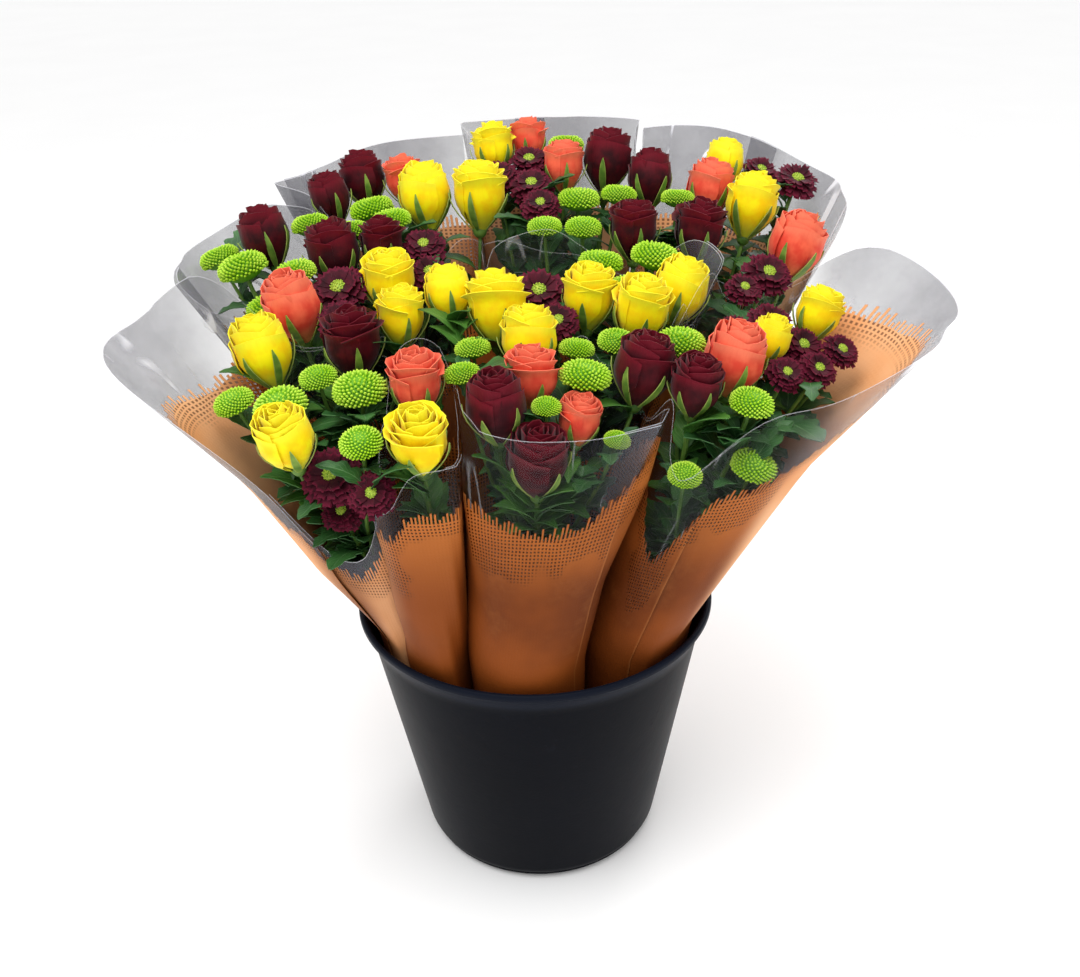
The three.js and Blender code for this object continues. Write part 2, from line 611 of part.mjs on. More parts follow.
// A sleeve's outer skin, row by row, and the same skin set in by the film's thickness.
function sleeveGeometry(bunch) {
  const rows = FILM_CREASES.length;
  const outer = [];
  for (let row = 0; row < rows; row++) {
    for (let i = 0; i < SLEEVE_SIDES; i++) {
      const low = Math.min(FILM_CREASES[2], (BUCKET_HEIGHT + bunch.tops[i]) / 2);
      const high = Math.min(FILM_CREASES[3], (low + bunch.tops[i]) / 2);
      const z = [SLEEVE_FOOT, BUCKET_HEIGHT, low, high, bunch.tops[i]][row];
      outer.push(wallPoint(bunch, z, (2 * Math.PI * i) / SLEEVE_SIDES, 0));
    }
  }
  const at = (row, i) => row * SLEEVE_SIDES + (i % SLEEVE_SIDES);
  const skin = [];
  for (let row = 1; row < rows; row++) {
    for (let i = 0; i < SLEEVE_SIDES; i++) {
      skin.push([at(row - 1, i), at(row - 1, i + 1), at(row, i + 1)], [at(row - 1, i), at(row, i + 1), at(row, i)]);
    }
  }
  const slants = skin.map((face) => new THREE.Triangle(...face.map((k) => outer[k])).getNormal(vec(0, 0, 0)));
  const inner = outer.map((point, k) => {
    const round = slants.filter((_, n) => skin[n].includes(k));
    const inwards = round.reduce((sum, slant) => sum.sub(slant), vec(0, 0, 0)).normalize();
    const sharpest = Math.max(FILM_MITRE, Math.min(...round.map((slant) => -slant.dot(inwards))));
    return point.clone().addScaledVector(inwards, FILM_THICKNESS / sharpest);
  });
  const faces = skin.flat();
  for (const [a, b, c] of skin) faces.push(a + outer.length, c + outer.length, b + outer.length);
  const rim = (a, b) => faces.push(a, b, b + outer.length, a, b + outer.length, a + outer.length);
  for (let i = 0; i < SLEEVE_SIDES; i++) {
    rim(at(rows - 1, i), at(rows - 1, i + 1));
    rim(at(0, i + 1), at(0, i));
  }
  return geometryFrom([...outer, ...inner].flatMap((point) => point.toArray()), faces);
}

// Closed meshes to manifold solids and back, for joining and cutting.
function solidOf(geometry) {
  const bare = geometry.clone();
  bare.deleteAttribute("normal");
  bare.deleteAttribute("uv");
  const merged = mergeVertices(bare, 1e-3);
  const mesh = new wasm.Mesh({
    numProp: 3,
    vertProperties: merged.attributes.position.array,
    triVerts: new Uint32Array(merged.index.array),
  });
  return new wasm.Manifold(mesh);
}
function geometryOf(solid) {
  const mesh = solid.getMesh();
  return geometryFrom(Array.from(mesh.vertProperties), Array.from(mesh.triVerts));
}

const bouquet = new THREE.Group();
function addPart(name, geometry, colour, roughness) {
  const material = new THREE.MeshStandardMaterial({ color: colour, roughness, metalness: 0 });
  const mesh = new THREE.Mesh(geometry, material);
  mesh.name = name;
  bouquet.add(mesh);
}

// The bucket.
function bucketProfile() {
  const inner = bucketInside(LIP_START);
  return [
    [0, 0], [BASE_RADIUS, 0], [WALL_RADIUS_AT_LIP, LIP_START], [RIM_RADIUS, BUCKET_HEIGHT - 3],
    [RIM_RADIUS, BUCKET_HEIGHT], [RIM_RADIUS - BUCKET_WALL, BUCKET_HEIGHT], [inner, LIP_START],
    [bucketInside(FLOOR_THICKNESS), FLOOR_THICKNESS], [0, FLOOR_THICKNESS],
  ].map(([x, y]) => new THREE.Vector2(x, y));
}
function lathe(profile, sides) {
  return new THREE.LatheGeometry(profile, sides).rotateX(Math.PI / 2);
}
addPart("bucket", lathe(bucketProfile(), BUCKET_SIDES), 0x1c1f24, 0.55);

// The water, with a plain hole for each bunch's stems.
function waterGeometry() {
  const low = FLOOR_THICKNESS + SEAT_GAP;
  const outline = [
    [0, low], [bucketInside(low) - SEAT_GAP, low],
    [bucketInside(WATER_DEPTH) - SEAT_GAP, WATER_DEPTH], [0, WATER_DEPTH],
  ].map(([x, y]) => new THREE.Vector2(x, y));
  let water = solidOf(lathe(outline, BUCKET_SIDES));
  for (const bunch of Object.values(BUNCHES)) {
    const [x, y] = bunchCentre(bunch, WATER_DEPTH / 2);
    const hole = new THREE.CylinderGeometry(STEM_HOLE, STEM_HOLE, WATER_DEPTH * 2, 7).rotateX(Math.PI / 2).translate(x, y, low);
    water = water.subtract(solidOf(hole));
  }
  return geometryOf(water);
}
addPart("water", waterGeometry(), 0x9fb4b8, 0.1);

const heads = placeHeads();
const sprays = growSprays(heads);
for (const bunch of Object.values(BUNCHES)) {
  bunch.tops = Array.from({ length: SLEEVE_SIDES }, (_, i) => filmTop(bunch, (2 * Math.PI * i) / SLEEVE_SIDES));
}
growLeaves(sprays);

// Each spray, fused into one solid.
const leafShape = leafGeometry();
for (const spray of sprays) {
  const pieces = [solidOf(shootGeometry(spray.stem, STEM_RADIUS, spray.heads[0]))];
  spray.branches.forEach((branch, i) => {
    pieces.push(solidOf(shootGeometry(branch, BRANCH_RADIUS, spray.heads[i + 1])));
  });
  for (const frame of spray.leaves) pieces.push(solidOf(leafShape.clone().applyMatrix4(frame)));
  const fused = pieces.reduce((sum, piece) => sum.add(piece));
  addPart(spray.name, geometryOf(fused), BLOOMS[spray.kind].colour, 0.7);
}

// The rubber band round each bunch's stems.
for (const [name, bunch] of Object.entries(BUNCHES)) {
  const inside = (bunch.tied + 2 * SEAT_GAP) / Math.cos(Math.PI / BAND_SIDES);
  const [x, y] = bunchCentre(bunch, BAND_HEIGHT);
  const ring = [[inside, -3], [inside + TIE_THICKNESS, -3], [inside + TIE_THICKNESS, 3], [inside, 3], [inside, -3]];
  const band = lathe(ring.map(([r, z]) => new THREE.Vector2(r, z)), BAND_SIDES).translate(x, y, BAND_HEIGHT);
  addPart(`${name}_band`, band, 0xb98a4a, 0.8);
}

for (const [name, bunch] of Object.entries(BUNCHES)) {
  addPart(`${name}_sleeve`, sleeveGeometry(bunch), 0xc8733a, 0.35);
}

export default bouquet;
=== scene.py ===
# A mixed flower bouquet display: nine tied bunches of spray roses and button chrysanthemums, each in
# its own printed film sleeve, standing in water in one black bucket. The viewer is towards -Y, and
# shapes are worked out in millimetres and brought to metres when a piece is made.
import math
import random

import bmesh
import bpy
import numpy as np
from mathutils import Matrix, Vector


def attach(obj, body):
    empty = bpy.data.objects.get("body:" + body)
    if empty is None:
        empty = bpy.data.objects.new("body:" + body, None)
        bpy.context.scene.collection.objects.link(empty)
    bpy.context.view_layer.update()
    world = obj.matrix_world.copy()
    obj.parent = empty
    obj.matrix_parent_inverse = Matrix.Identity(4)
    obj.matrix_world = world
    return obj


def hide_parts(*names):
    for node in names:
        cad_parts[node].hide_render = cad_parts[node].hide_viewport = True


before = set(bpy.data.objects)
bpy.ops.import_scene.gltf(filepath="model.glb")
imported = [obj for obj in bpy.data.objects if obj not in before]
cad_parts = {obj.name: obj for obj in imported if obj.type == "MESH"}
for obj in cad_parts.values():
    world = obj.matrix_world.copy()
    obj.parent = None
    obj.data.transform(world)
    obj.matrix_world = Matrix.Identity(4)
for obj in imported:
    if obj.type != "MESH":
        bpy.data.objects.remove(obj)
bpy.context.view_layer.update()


# The camera, held about a metre from the middle of the bucket's rim, a third of the way up to
# overhead, and rolled a little.
RIM_HEIGHT = 236
CAMERA_RISE = math.radians(33.12)
CAMERA_REACH = 1000
CAMERA_AIM = np.array([6.9, 0, 331.2])
CAMERA_ROLL = math.radians(-1.7)
PHOTO_SIZE = (1080, 977)
PHOTO_CENTRE = (540, 488.5)
FOCAL_PIXELS = 1163.5
SENSOR_WIDTH = 36
NEAREST_SEEN = 0.01
FARTHEST_SEEN = 50
MM = 0.001


def unit(direction):
    return direction / np.linalg.norm(direction)


def put_in_scene(name, contents):
    thing = bpy.data.objects.new(name, contents)
    bpy.context.collection.objects.link(thing)
    return thing


eye = np.array([0, -math.cos(CAMERA_RISE), math.sin(CAMERA_RISE)]) * CAMERA_REACH + [0, 0, RIM_HEIGHT]
ahead = unit(CAMERA_AIM - eye)
rightwards = unit(np.cross(ahead, [0, 0, 1]))
upwards = np.cross(rightwards, ahead)
roll_cos, roll_sin = math.cos(CAMERA_ROLL), math.sin(CAMERA_ROLL)
lens = bpy.data.cameras.new("photo_lens")
lens.sensor_width = SENSOR_WIDTH
lens.lens = FOCAL_PIXELS * SENSOR_WIDTH / PHOTO_SIZE[0]
lens.clip_start = NEAREST_SEEN
lens.clip_end = FARTHEST_SEEN
camera = put_in_scene("photo_camera", lens)
turned = Matrix((
    roll_cos * rightwards + roll_sin * upwards, roll_cos * upwards - roll_sin * rightwards, -ahead,
)).transposed()
camera.matrix_world = Matrix.Translation(eye * MM) @ turned.to_4x4()
bpy.context.scene.camera = camera


# The floor, a wide matt white sheet, and the lights: white walls all round, one soft box overhead
# towards the viewer, and a second at the back that catches the film's edges.
FLOOR_SIDE = 40000
WALL_LIGHT = 0.98


class Reading:
    """A shader socket's reading. Sums are written with it, and other nodes hang from it."""

    def __init__(self, tree, socket):
        self.tree, self.socket = tree, socket

    def node(self, kind, settings, values, out=0):
        """Any other node: its type, its settings, and what goes into its sockets."""
        made = self.tree.nodes.new("ShaderNode" + kind)
        for name, setting in settings.items():
            setattr(made, name, setting)
        for name, value in values.items():
            if isinstance(value, Reading):
                self.tree.links.new(value.socket, made.inputs[name])
            else:
                made.inputs[name].default_value = value
        return Reading(self.tree, made.outputs[out])

    def math(self, operation, *others):
        return self.node("Math", {"operation": operation}, dict(enumerate((self, *others))))

    def __add__(self, other):
        return self.math("ADD", other)

    def __sub__(self, other):
        return self.math("SUBTRACT", other)

    def __rsub__(self, other):
        return self.node("Math", {"operation": "SUBTRACT"}, {0: other, 1: self})

    def __mul__(self, other):
        return self.math("MULTIPLY", other)

    def __abs__(self):
        return self.math("ABSOLUTE")

    __radd__, __rmul__ = __add__, __mul__

    def rise(self, low, high):
        """0 up to low, 1 from high on, and smooth between them."""
        ends = {"Value": self, "From Min": low, "From Max": high}
        return self.node("MapRange", {"interpolation_type": "SMOOTHSTEP"}, ends)

    def blend(self, none, full):
        """A colour between two, by this reading."""
        return self.node("Mix", {"data_type": "RGBA"}, {0: self, 6: none, 7: full}, out=2)

    def noise(self, scale, detail=2.0, roughness=0.5):
        values = {"Vector": self, "Scale": scale, "Detail": detail, "Roughness": roughness}
        return self.node("TexNoise", {}, values)

    def part(self, axis):
        """One of a vector's three numbers."""
        return self.node("SeparateXYZ", {}, {0: self}, out="XYZ".index(axis))

    def bump(self, depth, strength=1.0):
        """A normal that this height gives, at a depth in metres."""
        return self.node("Bump", {}, {"Height": self, "Distance": depth, "Strength": strength})


def new_finish(name, **constants):
    """A material, and its surface coordinates: the piece's own place and its UV map."""
    finish = bpy.data.materials.new(name)
    finish.use_nodes = True
    tree = finish.node_tree
    shader = tree.nodes["Principled BSDF"]
    for socket, value in constants.items():
        shader.inputs[socket.replace("_", " ")].default_value = value
    source = tree.nodes.new("ShaderNodeTexCoord")
    return finish, Reading(tree, source.outputs["Object"]), Reading(tree, source.outputs["UV"])


def dress(finish, **readings):
    shader = finish.node_tree.nodes["Principled BSDF"]
    for socket, reading in readings.items():
        finish.node_tree.links.new(reading.socket, shader.inputs[socket.replace("_", " ")])


def colour(red, green, blue):
    """A colour from its usual 0 to 255 values, as a shader takes it."""
    values = [c / 255 for c in (red, green, blue)]
    return (*(c / 12.92 if c <= 0.04045 else ((c + 0.055) / 1.055) ** 2.4 for c in values), 1)


def soft_light(name, place, aim, side, power):
    """A square soft box of this side, at a place and turned to face its aim."""
    lamp = bpy.data.lights.new(name, "AREA")
    lamp.shape = "SQUARE"
    lamp.size = side * MM
    lamp.energy = power
    holder = put_in_scene(name, lamp)
    holder.location = Vector(place) * MM
    holder.rotation_euler = (Vector(aim) - Vector(place)).to_track_quat("-Z", "Y").to_euler()


def as_mesh(name, shape):
    mesh = bpy.data.meshes.new(name)
    shape.to_mesh(mesh)
    shape.free()
    return mesh


floor_paint, floor_place, _ = new_finish("floor_paint", Roughness=0.9)
mottle = floor_place.noise(3)
dress(floor_paint, Base_Color=mottle.blend(colour(251, 251, 251), colour(255, 255, 255)))
floor_shape = bmesh.new()
bmesh.ops.create_grid(floor_shape, x_segments=1, y_segments=1, size=FLOOR_SIDE / 2 * MM)
floor = put_in_scene("studio_floor", as_mesh("studio_floor", floor_shape))
floor.data.materials.append(floor_paint)

studio = bpy.data.worlds.new("studio_walls")
studio.use_nodes = True
walls = studio.node_tree.nodes["Background"].inputs
walls["Color"].default_value = (1, 1, 1, 1)
walls["Strength"].default_value = WALL_LIGHT
bpy.context.scene.world = studio
soft_light("overhead_box", place=(-300, -500, 2100), aim=(0, 0, 350), side=1300, power=22)
soft_light("back_box", place=(700, 1300, 1500), aim=(50, 50, 450), side=800, power=7)
bpy.context.scene.view_settings.view_transform = "Standard"


# The bucket: a tapered tub of smooth near-black plastic, moulded in one piece, with a flared collar,
# a rolled lip and a rounded foot.
RIM_RADIUS = 150
BASE_RADIUS = 104
LIP_START = 216
WALL_RADIUS_AT_LIP = 141.5
BUCKET_WALL = 2.5
BUCKET_FLOOR = 4
LIP_HEIGHT = 5
LIP_WIDTH = 4.5
LIP_ROUNDING = 2
COLLAR_ROUNDING = 6
COLLAR_STEP = 2
FOOT_INSET = 6
FOOT_LIFT = 0.8
BASE_ROUNDING = 13
SPIN_STEPS = 128
BUCKET_SIDES = 36


def new_shape():
    """An empty shape that keeps a UV map."""
    shape = bmesh.new()
    shape.loops.layers.uv.new("UVMap")
    return shape


def bucket_inside(z):
    """The bucket's inner radius at a height."""
    return BASE_RADIUS + (WALL_RADIUS_AT_LIP - BASE_RADIUS) * min(z, LIP_START) / LIP_START - BUCKET_WALL


def turned_shape(outline, steps):
    """An outline of (radius, height) spun round the upright axis."""
    shape = new_shape()
    points = [shape.verts.new((radius, 0, height)) for radius, height in outline]
    edges = [shape.edges.new(pair) for pair in zip(points, points[1:])]
    bmesh.ops.spin(
        shape, geom=points + edges, cent=(0, 0, 0), axis=(0, 0, 1), angle=2 * math.pi, steps=steps,
        use_merge=True,
    )
    bmesh.ops.remove_doubles(shape, verts=shape.verts, dist=0.001)
    bmesh.ops.recalc_face_normals(shape, faces=shape.faces)
    return shape


def round_over(shape, radius, height, offset, segments):
    """Rounds the edge that runs round a turned shape at this radius and height."""
    rings = [
        edge for edge in shape.edges
        if all(abs(v.co.z - height) < 0.01 and abs(v.co.xy.length - radius) < 0.01 for v in edge.verts)
    ]
    bmesh.ops.bevel(
        shape, geom=rings, affect="EDGES", offset=offset, segments=segments, profile=0.5, material=-1,
    )


def make_piece(name, shape, finishes, slot, *nodes, crease=50):
    """Brings a shape to metres and makes it a piece that stands for the CAD nodes named."""
    bmesh.ops.scale(shape, vec=(MM, MM, MM), verts=shape.verts)
    mesh = as_mesh(name, shape)
    mesh.shade_smooth()
    mesh.set_sharp_from_angle(angle=math.radians(crease))
    for finish in finishes:
        mesh.materials.append(finish)
    piece = put_in_scene(name, mesh)
    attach(piece, "root")
    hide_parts(*nodes)


bucket_shape = turned_shape([
    (0, 0),
    (BASE_RADIUS - FOOT_INSET, 0),
    (BASE_RADIUS - FOOT_INSET, FOOT_LIFT),
    (BASE_RADIUS, FOOT_LIFT),
    (WALL_RADIUS_AT_LIP, LIP_START),
    (RIM_RADIUS - COLLAR_STEP, RIM_HEIGHT - LIP_HEIGHT - COLLAR_STEP),
    (RIM_RADIUS, RIM_HEIGHT - LIP_HEIGHT),
    (RIM_RADIUS, RIM_HEIGHT),
    (RIM_RADIUS - LIP_WIDTH, RIM_HEIGHT),
    (bucket_inside(LIP_START), LIP_START),
    (bucket_inside(BUCKET_FLOOR), BUCKET_FLOOR),
    (0, BUCKET_FLOOR),
], SPIN_STEPS)
round_over(bucket_shape, BASE_RADIUS, FOOT_LIFT, BASE_ROUNDING, segments=7)
round_over(bucket_shape, WALL_RADIUS_AT_LIP, LIP_START, COLLAR_ROUNDING, segments=4)
round_over(bucket_shape, RIM_RADIUS, RIM_HEIGHT, LIP_ROUNDING, segments=4)
round_over(bucket_shape, RIM_RADIUS - LIP_WIDTH, RIM_HEIGHT, LIP_ROUNDING, segments=4)

bucket_plastic, place, _ = new_finish("bucket_plastic", IOR=1.3, Specular_IOR_Level=0.08)
cloud = place.noise(9, 3)
scuffs = place.noise(60, 4, 0.7).rise(0.62, 0.75)
# Painted highlight: the collar and lip are painted a lighter navy, where the flare catches the light from
# above.
collar = place.part("Z").rise((LIP_START - 2) * MM, (LIP_START + 6) * MM)
tone = cloud.blend(colour(7, 8, 12), colour(13, 15, 22))
tone = (collar * 0.6).blend(tone, colour(22, 27, 40))
dress(
    bucket_plastic, Base_Color=(scuffs * 0.25).blend(tone, colour(34, 36, 44)),
    Roughness=0.34 + cloud * 0.12 + scuffs * 0.12,
    Normal=(place.noise(420, 2) + place.noise(38, 2) * 3).bump(0.0002, 0.35),
)
make_piece("black_bucket", bucket_shape, [bucket_plastic], "bucket", "bucket")


# The water: clear and a little green from the stems, with a plain hole round each bunch's stems, so
# that the model's own solid is shown as it is.
pond, place, _ = new_finish("stem_water", Roughness=0.06, IOR=1.33, Alpha=0.55)
dress(
    pond, Base_Color=place.noise(14, 2).blend(colour(96, 122, 104), colour(142, 158, 138)),
    Normal=place.noise(30, 2).bump(0.0008, 0.4),
)
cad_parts["water"].material_slots[0].material = pond


# The nine bunches, packed side by side in the bucket: where each stands at the rim and at the blooms,
# its share of the room, and how its film opens and how high it reaches to the right, back, left and
# front. A notch is where the wrap gapes open.
BUNCHES = {
    "left": dict(rim=(-105, -40), top=(-158, -78), share=1, opens=172, flare=(0.9, 0.45),
                 mouth=(430, 508, 496, 440), notch=(-100, 35, 110)),
    "front_left": dict(rim=(-65, -72), top=(-80, -100), share=0.5, opens=-100, flare=(0.3, 0.3),
                       mouth=(450, 480, 440, 430)),
    "front": dict(rim=(-8, -92), top=(24, -88), share=1.25, opens=-85, flare=(0.3, 1),
                  mouth=(455, 500, 475, 448)),
    "right": dict(rim=(82, -62), top=(166, -62), share=1.2, opens=28, flare=(1, 0.6),
                  mouth=(496, 538, 470, 466)),
    "back_right": dict(rim=(92, 48), top=(152, 136), share=1, opens=30, flare=(0.45, 0.7),
                       mouth=(535, 558, 556, 490)),
    "back": dict(rim=(25, 92), top=(32, 155), share=1, opens=85, flare=(0.25, 1),
                 mouth=(572, 577, 572, 500)),
    "back_left": dict(rim=(-42, 85), top=(-100, 143), share=1, opens=110, flare=(0.25, 0.8),
                      mouth=(568, 562, 540, 500)),
    "far_left": dict(rim=(-96, 32), top=(-165, 76), share=1, opens=160, flare=(0.56, 0.6),
                     mouth=(505, 530, 506, 485)),
    "middle": dict(rim=(20, -2), top=(66, 12), share=0.9, opens=0, flare=(0.6, 0.6),
                   mouth=(510, 540, 520, 500)),
}
BLOOM_LEVEL = 470
FOOT_DRAW_IN = 0.68
SLEEVE_FOOT = 80
SLEEVE_RIM_RADIUS = 46
SLEEVE_FLARE = 0.0014
FLARE_END = 540
SLEEVE_GAP = 0.5
SLEEVE_PARTING = 0.015
SEAT_GAP = 0.3
SLEEVE_SIDES = 14
FILM_CREASES = (SLEEVE_FOOT, RIM_HEIGHT, 305, 390, FLARE_END)


def bunch_centre(bunch, z):
    """The middle of a bunch at a height: drawn in below the rim and spread above it."""
    (x, y), (top_x, top_y) = bunch["rim"], bunch["top"]
    if z < RIM_HEIGHT:
        share = FOOT_DRAW_IN + (1 - FOOT_DRAW_IN) * z / RIM_HEIGHT
        return x * share, y * share
    lean = (z - RIM_HEIGHT) / (BLOOM_LEVEL - RIM_HEIGHT)
    return x + (top_x - x) * lean, y + (top_y - y) * lean


def room_for(bunch, z, angle, parting=SLEEVE_PARTING):
    """How far a sleeve stands from its bunch's middle, kept off its neighbours and the bucket."""
    cx, cy = bunch_centre(bunch, z)
    ux, uy = math.cos(angle), math.sin(angle)
    above = max(0, min(z, FLARE_END) - RIM_HEIGHT)
    out, side = (SLEEVE_RIM_RADIUS + SLEEVE_FLARE * above * above * much for much in bunch["flare"])
    turn = angle - math.radians(bunch["opens"])
    radius = 1 / math.hypot(math.cos(turn) / out, math.sin(turn) / side)
    for other in BUNCHES.values():
        ox, oy = bunch_centre(other, z)
        dx, dy = ox - cx, oy - cy
        along, apart = dx * ux + dy * uy, math.hypot(dx, dy)
        room = apart * bunch["share"] / (bunch["share"] + other["share"]) - SLEEVE_GAP - parting * above
        if along > 0:
            radius = min(radius, room * apart / along)
    if z <= RIM_HEIGHT:
        wall = bucket_inside(z) * math.cos(math.pi / BUCKET_SIDES) - SEAT_GAP
        out = cx * ux + cy * uy
        radius = min(radius, math.sqrt(out * out - cx * cx - cy * cy + wall * wall) - out)
    return radius


def swell(angle, at, width):
    """A smooth swell on a sleeve: 1 at one bearing, and nothing well to either side of it."""
    turn = math.remainder(angle - at, 2 * math.pi)
    return math.exp(-((turn / width) ** 2))


def mouth_height(bunch, angle):
    """The height that a sleeve's film is cut to in one direction."""
    right, back, left, front = bunch["mouth"]
    across, along = math.cos(angle), math.sin(angle)
    side, end = right if across > 0 else left, back if along > 0 else front
    height = side * across * across + end * along * along
    if "notch" in bunch:
        at, width, depth = bunch["notch"]
        height -= depth * swell(angle, math.radians(at), math.radians(width))
    return height


for bunch in BUNCHES.values():
    bunch["walls"] = np.array([
        [room_for(bunch, z, 2 * math.pi * side / SLEEVE_SIDES) for side in range(SLEEVE_SIDES + 1)]
        for z in FILM_CREASES
    ])


def inside_sleeve(bunch, places, margin):
    """Which places are within the flat panels of a sleeve, by a margin."""
    z = places[:, 2]
    (x, y), (top_x, top_y) = bunch["rim"], bunch["top"]
    lean = (z - RIM_HEIGHT) / (BLOOM_LEVEL - RIM_HEIGHT)
    dx, dy = places[:, 0] - x - (top_x - x) * lean, places[:, 1] - y - (top_y - y) * lean
    step = 2 * math.pi / SLEEVE_SIDES
    side = np.floor(np.arctan2(dy, dx) / step).astype(int)
    crease = np.clip(np.searchsorted(FILM_CREASES, z), 1, len(FILM_CREASES) - 1)
    low, high = np.take(FILM_CREASES, crease - 1), np.take(FILM_CREASES, crease)
    share = (z - low) / (high - low)
    corners = []
    for corner in (side, side + 1):
        column = corner % SLEEVE_SIDES
        radius = (1 - share) * bunch["walls"][crease - 1, column] + share * bunch["walls"][crease, column]
        corners += [(radius - margin) * np.cos(corner * step), (radius - margin) * np.sin(corner * step)]
    ax, ay, bx, by = corners
    return (bx - ax) * (dy - ay) - (by - ay) * (dx - ax) > 0


def film_point(bunch, z, angle, inset=0):
    """A point on a sleeve's film, which runs straight from each of its creases to the next."""
    last = len(FILM_CREASES) - 1
    upper = max(1, next((n for n, crease in enumerate(FILM_CREASES) if crease >= z), last))
    low, high = FILM_CREASES[upper - 1], FILM_CREASES[upper]
    start, end = room_for(bunch, low, angle, 0), room_for(bunch, high, angle, 0)
    radius = start + (end - start) * (z - low) / (high - low) - inset
    x, y = bunch_centre(bunch, z)
    return np.array([x + radius * math.cos(angle), y + radius * math.sin(angle), z])


# Where every bloom is: each was seen in the photograph at a place across and down it, with its size
# against the usual bloom of its kind and how deep it sits, and all lie on a slope that rises to the
# back. A bloom belongs to the bunch that is nearest, and all then settle beside each other.
BLOOMS = {
    "yellow_rose": [
        (417, 204, 1.1), (463, 201, 1.1), (496, 156, 0.9), (380, 286, 1), (402, 322, 0.9), (264, 357, 1.1),
        (499, 316, 1.1), (536, 345, 1), (450, 300, 0.9), (607, 306, 1), (658, 314, 1.05),
        (708, 297, 1.05), (738, 208, 1.05), (733, 169, 0.85), (806, 322, 0.85), (293, 447, 1),
        (420, 447, 1), (764, 352, 0.75)],
    "coral_rose": [
        (291, 311, 1.1), (416, 389, 0.95), (387, 190, 0.8), (531, 151, 0.8), (550, 168, 0.85),
        (543, 383, 0.9), (708, 197, 0.95), (793, 253, 1.1), (733, 357, 1.1), (569, 421, 0.75, 12)],
    "burgundy_rose": [
        (328, 205, 0.85), (363, 195, 0.95), (279, 243, 1), (325, 256, 1.05), (349, 352, 1.05),
        (375, 246, 0.85), (507, 407, 1.05), (538, 467, 1.05, 26), (598, 167, 1.05), (655, 186, 0.95),
        (636, 237, 0.95), (698, 238, 1), (650, 372, 1.05), (686, 380, 0.9)],
    "green_button": [
        (228, 264, 0.95), (254, 271, 1.15), (300, 272, 0.95), (246, 323, 1.05), (213, 338, 0.85),
        (316, 225, 0.9), (349, 217, 1.05), (381, 220, 0.95), (337, 234, 0.9), (319, 379, 0.8),
        (359, 391, 1.1), (242, 404, 0.85), (278, 407, 1.1), (472, 351, 0.75), (463, 374, 0.75),
        (562, 147, 0.9), (582, 200, 1), (609, 197, 0.85), (684, 196, 0.8), (546, 228, 0.8),
        (582, 229, 0.85), (614, 268, 1), (671, 264, 1.1), (658, 289, 0.9), (631, 337, 0.8),
        (689, 339, 1.05), (595, 351, 0.75), (573, 375, 1.05), (746, 396, 0.9), (552, 408, 0.6),
        (361, 444, 0.85), (617, 441, 0.55, 20), (754, 468, 0.95, 38), (685, 476, 0.7, 38)],
    "burgundy_daisy": [
        (341, 289, 1.1), (326, 318, 0.85), (424, 246, 0.85), (420, 275, 0.8), (507, 178, 0.9),
        (527, 185, 0.9), (545, 201, 0.8), (536, 160, 0.85), (555, 296, 1.05), (561, 320, 0.75),
        (765, 275, 0.95), (785, 180, 0.95), (760, 173, 0.8), (744, 288, 0.7), (779, 327, 0.85),
        (753, 336, 0.7), (789, 350, 0.8), (775, 364, 0.7), (818, 350, 0.7), (808, 368, 0.7),
        (335, 488, 1.05, 28), (362, 492, 0.8, 28), (334, 527, 0.75, 52)],
}
BLOOM_RADIUS = dict(yellow_rose=19, coral_rose=19, burgundy_rose=19, green_button=17, burgundy_daisy=17)
BLOOM_LENGTH = dict(yellow_rose=50, coral_rose=50, burgundy_rose=50, green_button=15, burgundy_daisy=6)
SLOPE_HEIGHT = 484
SLOPE_RISE = 0.35
SLOPE_FALL = 0.0003
LONE_BLOOM_SHIFT = 1.45
SETTLING_ROUNDS = 160
BLOOM_TO_FILM = 4
BLOOM_TO_BLOOM = 3.6
DAISY_CLOSENESS = 0.97
FILM_PUSH = 0.1
SIDEWAYS = 0.3
FACING_FROM = 40
FACING_UP = 0.35


def spot_to_place(across, down, size, sunk=0):
    """The place among the blooms that a spot in the photograph shows."""
    dx, dy = across - PHOTO_CENTRE[0], down - PHOTO_CENTRE[1]
    ray = ahead * FOCAL_PIXELS + rightwards * (roll_cos * dx + roll_sin * dy)
    ray = (ray + upwards * (roll_sin * dx - roll_cos * dy)) / FOCAL_PIXELS
    a = SLOPE_FALL * ray[0] * ray[0]
    b = ray[2] - SLOPE_RISE * ray[1]
    c = eye[2] - SLOPE_HEIGHT + sunk - SLOPE_RISE * eye[1]
    reach = -c / b if a < 1e-9 else (-b - math.sqrt(b * b - 4 * a * c)) / (2 * a)
    return eye + ray * reach


def keep_apart(one, other):
    """Two blooms that are too near each other each give way by half, mostly sideways."""
    apart = one["middle"] - other["middle"]
    flat = "burgundy_daisy" in (one["kind"], other["kind"])
    room = (one["radius"] + other["radius"]) * (DAISY_CLOSENESS if flat else 1) + BLOOM_TO_BLOOM
    short = room - math.sqrt(apart @ apart)
    if short > 0:
        apart[2] *= SIDEWAYS
        apart *= short / 2 / math.sqrt(apart @ apart)
        one["middle"] = one["middle"] + apart
        other["middle"] = other["middle"] - apart


def keep_in_film(head):
    """A bloom that leans out over its bunch's film gives way towards the bunch's middle."""
    bunch, middle = BUNCHES[head["bunch"]], head["middle"]
    x, y = bunch_centre(bunch, middle[2])
    dx, dy = middle[0] - x, middle[1] - y
    away = math.hypot(dx, dy)
    over = away + head["radius"] + BLOOM_TO_FILM - room_for(bunch, middle[2], math.atan2(dy, dx))
    if over > 0 and dx * x + dy * y > 0:
        middle[:2] -= np.array([dx, dy]) * min(over * FILM_PUSH, away) / away


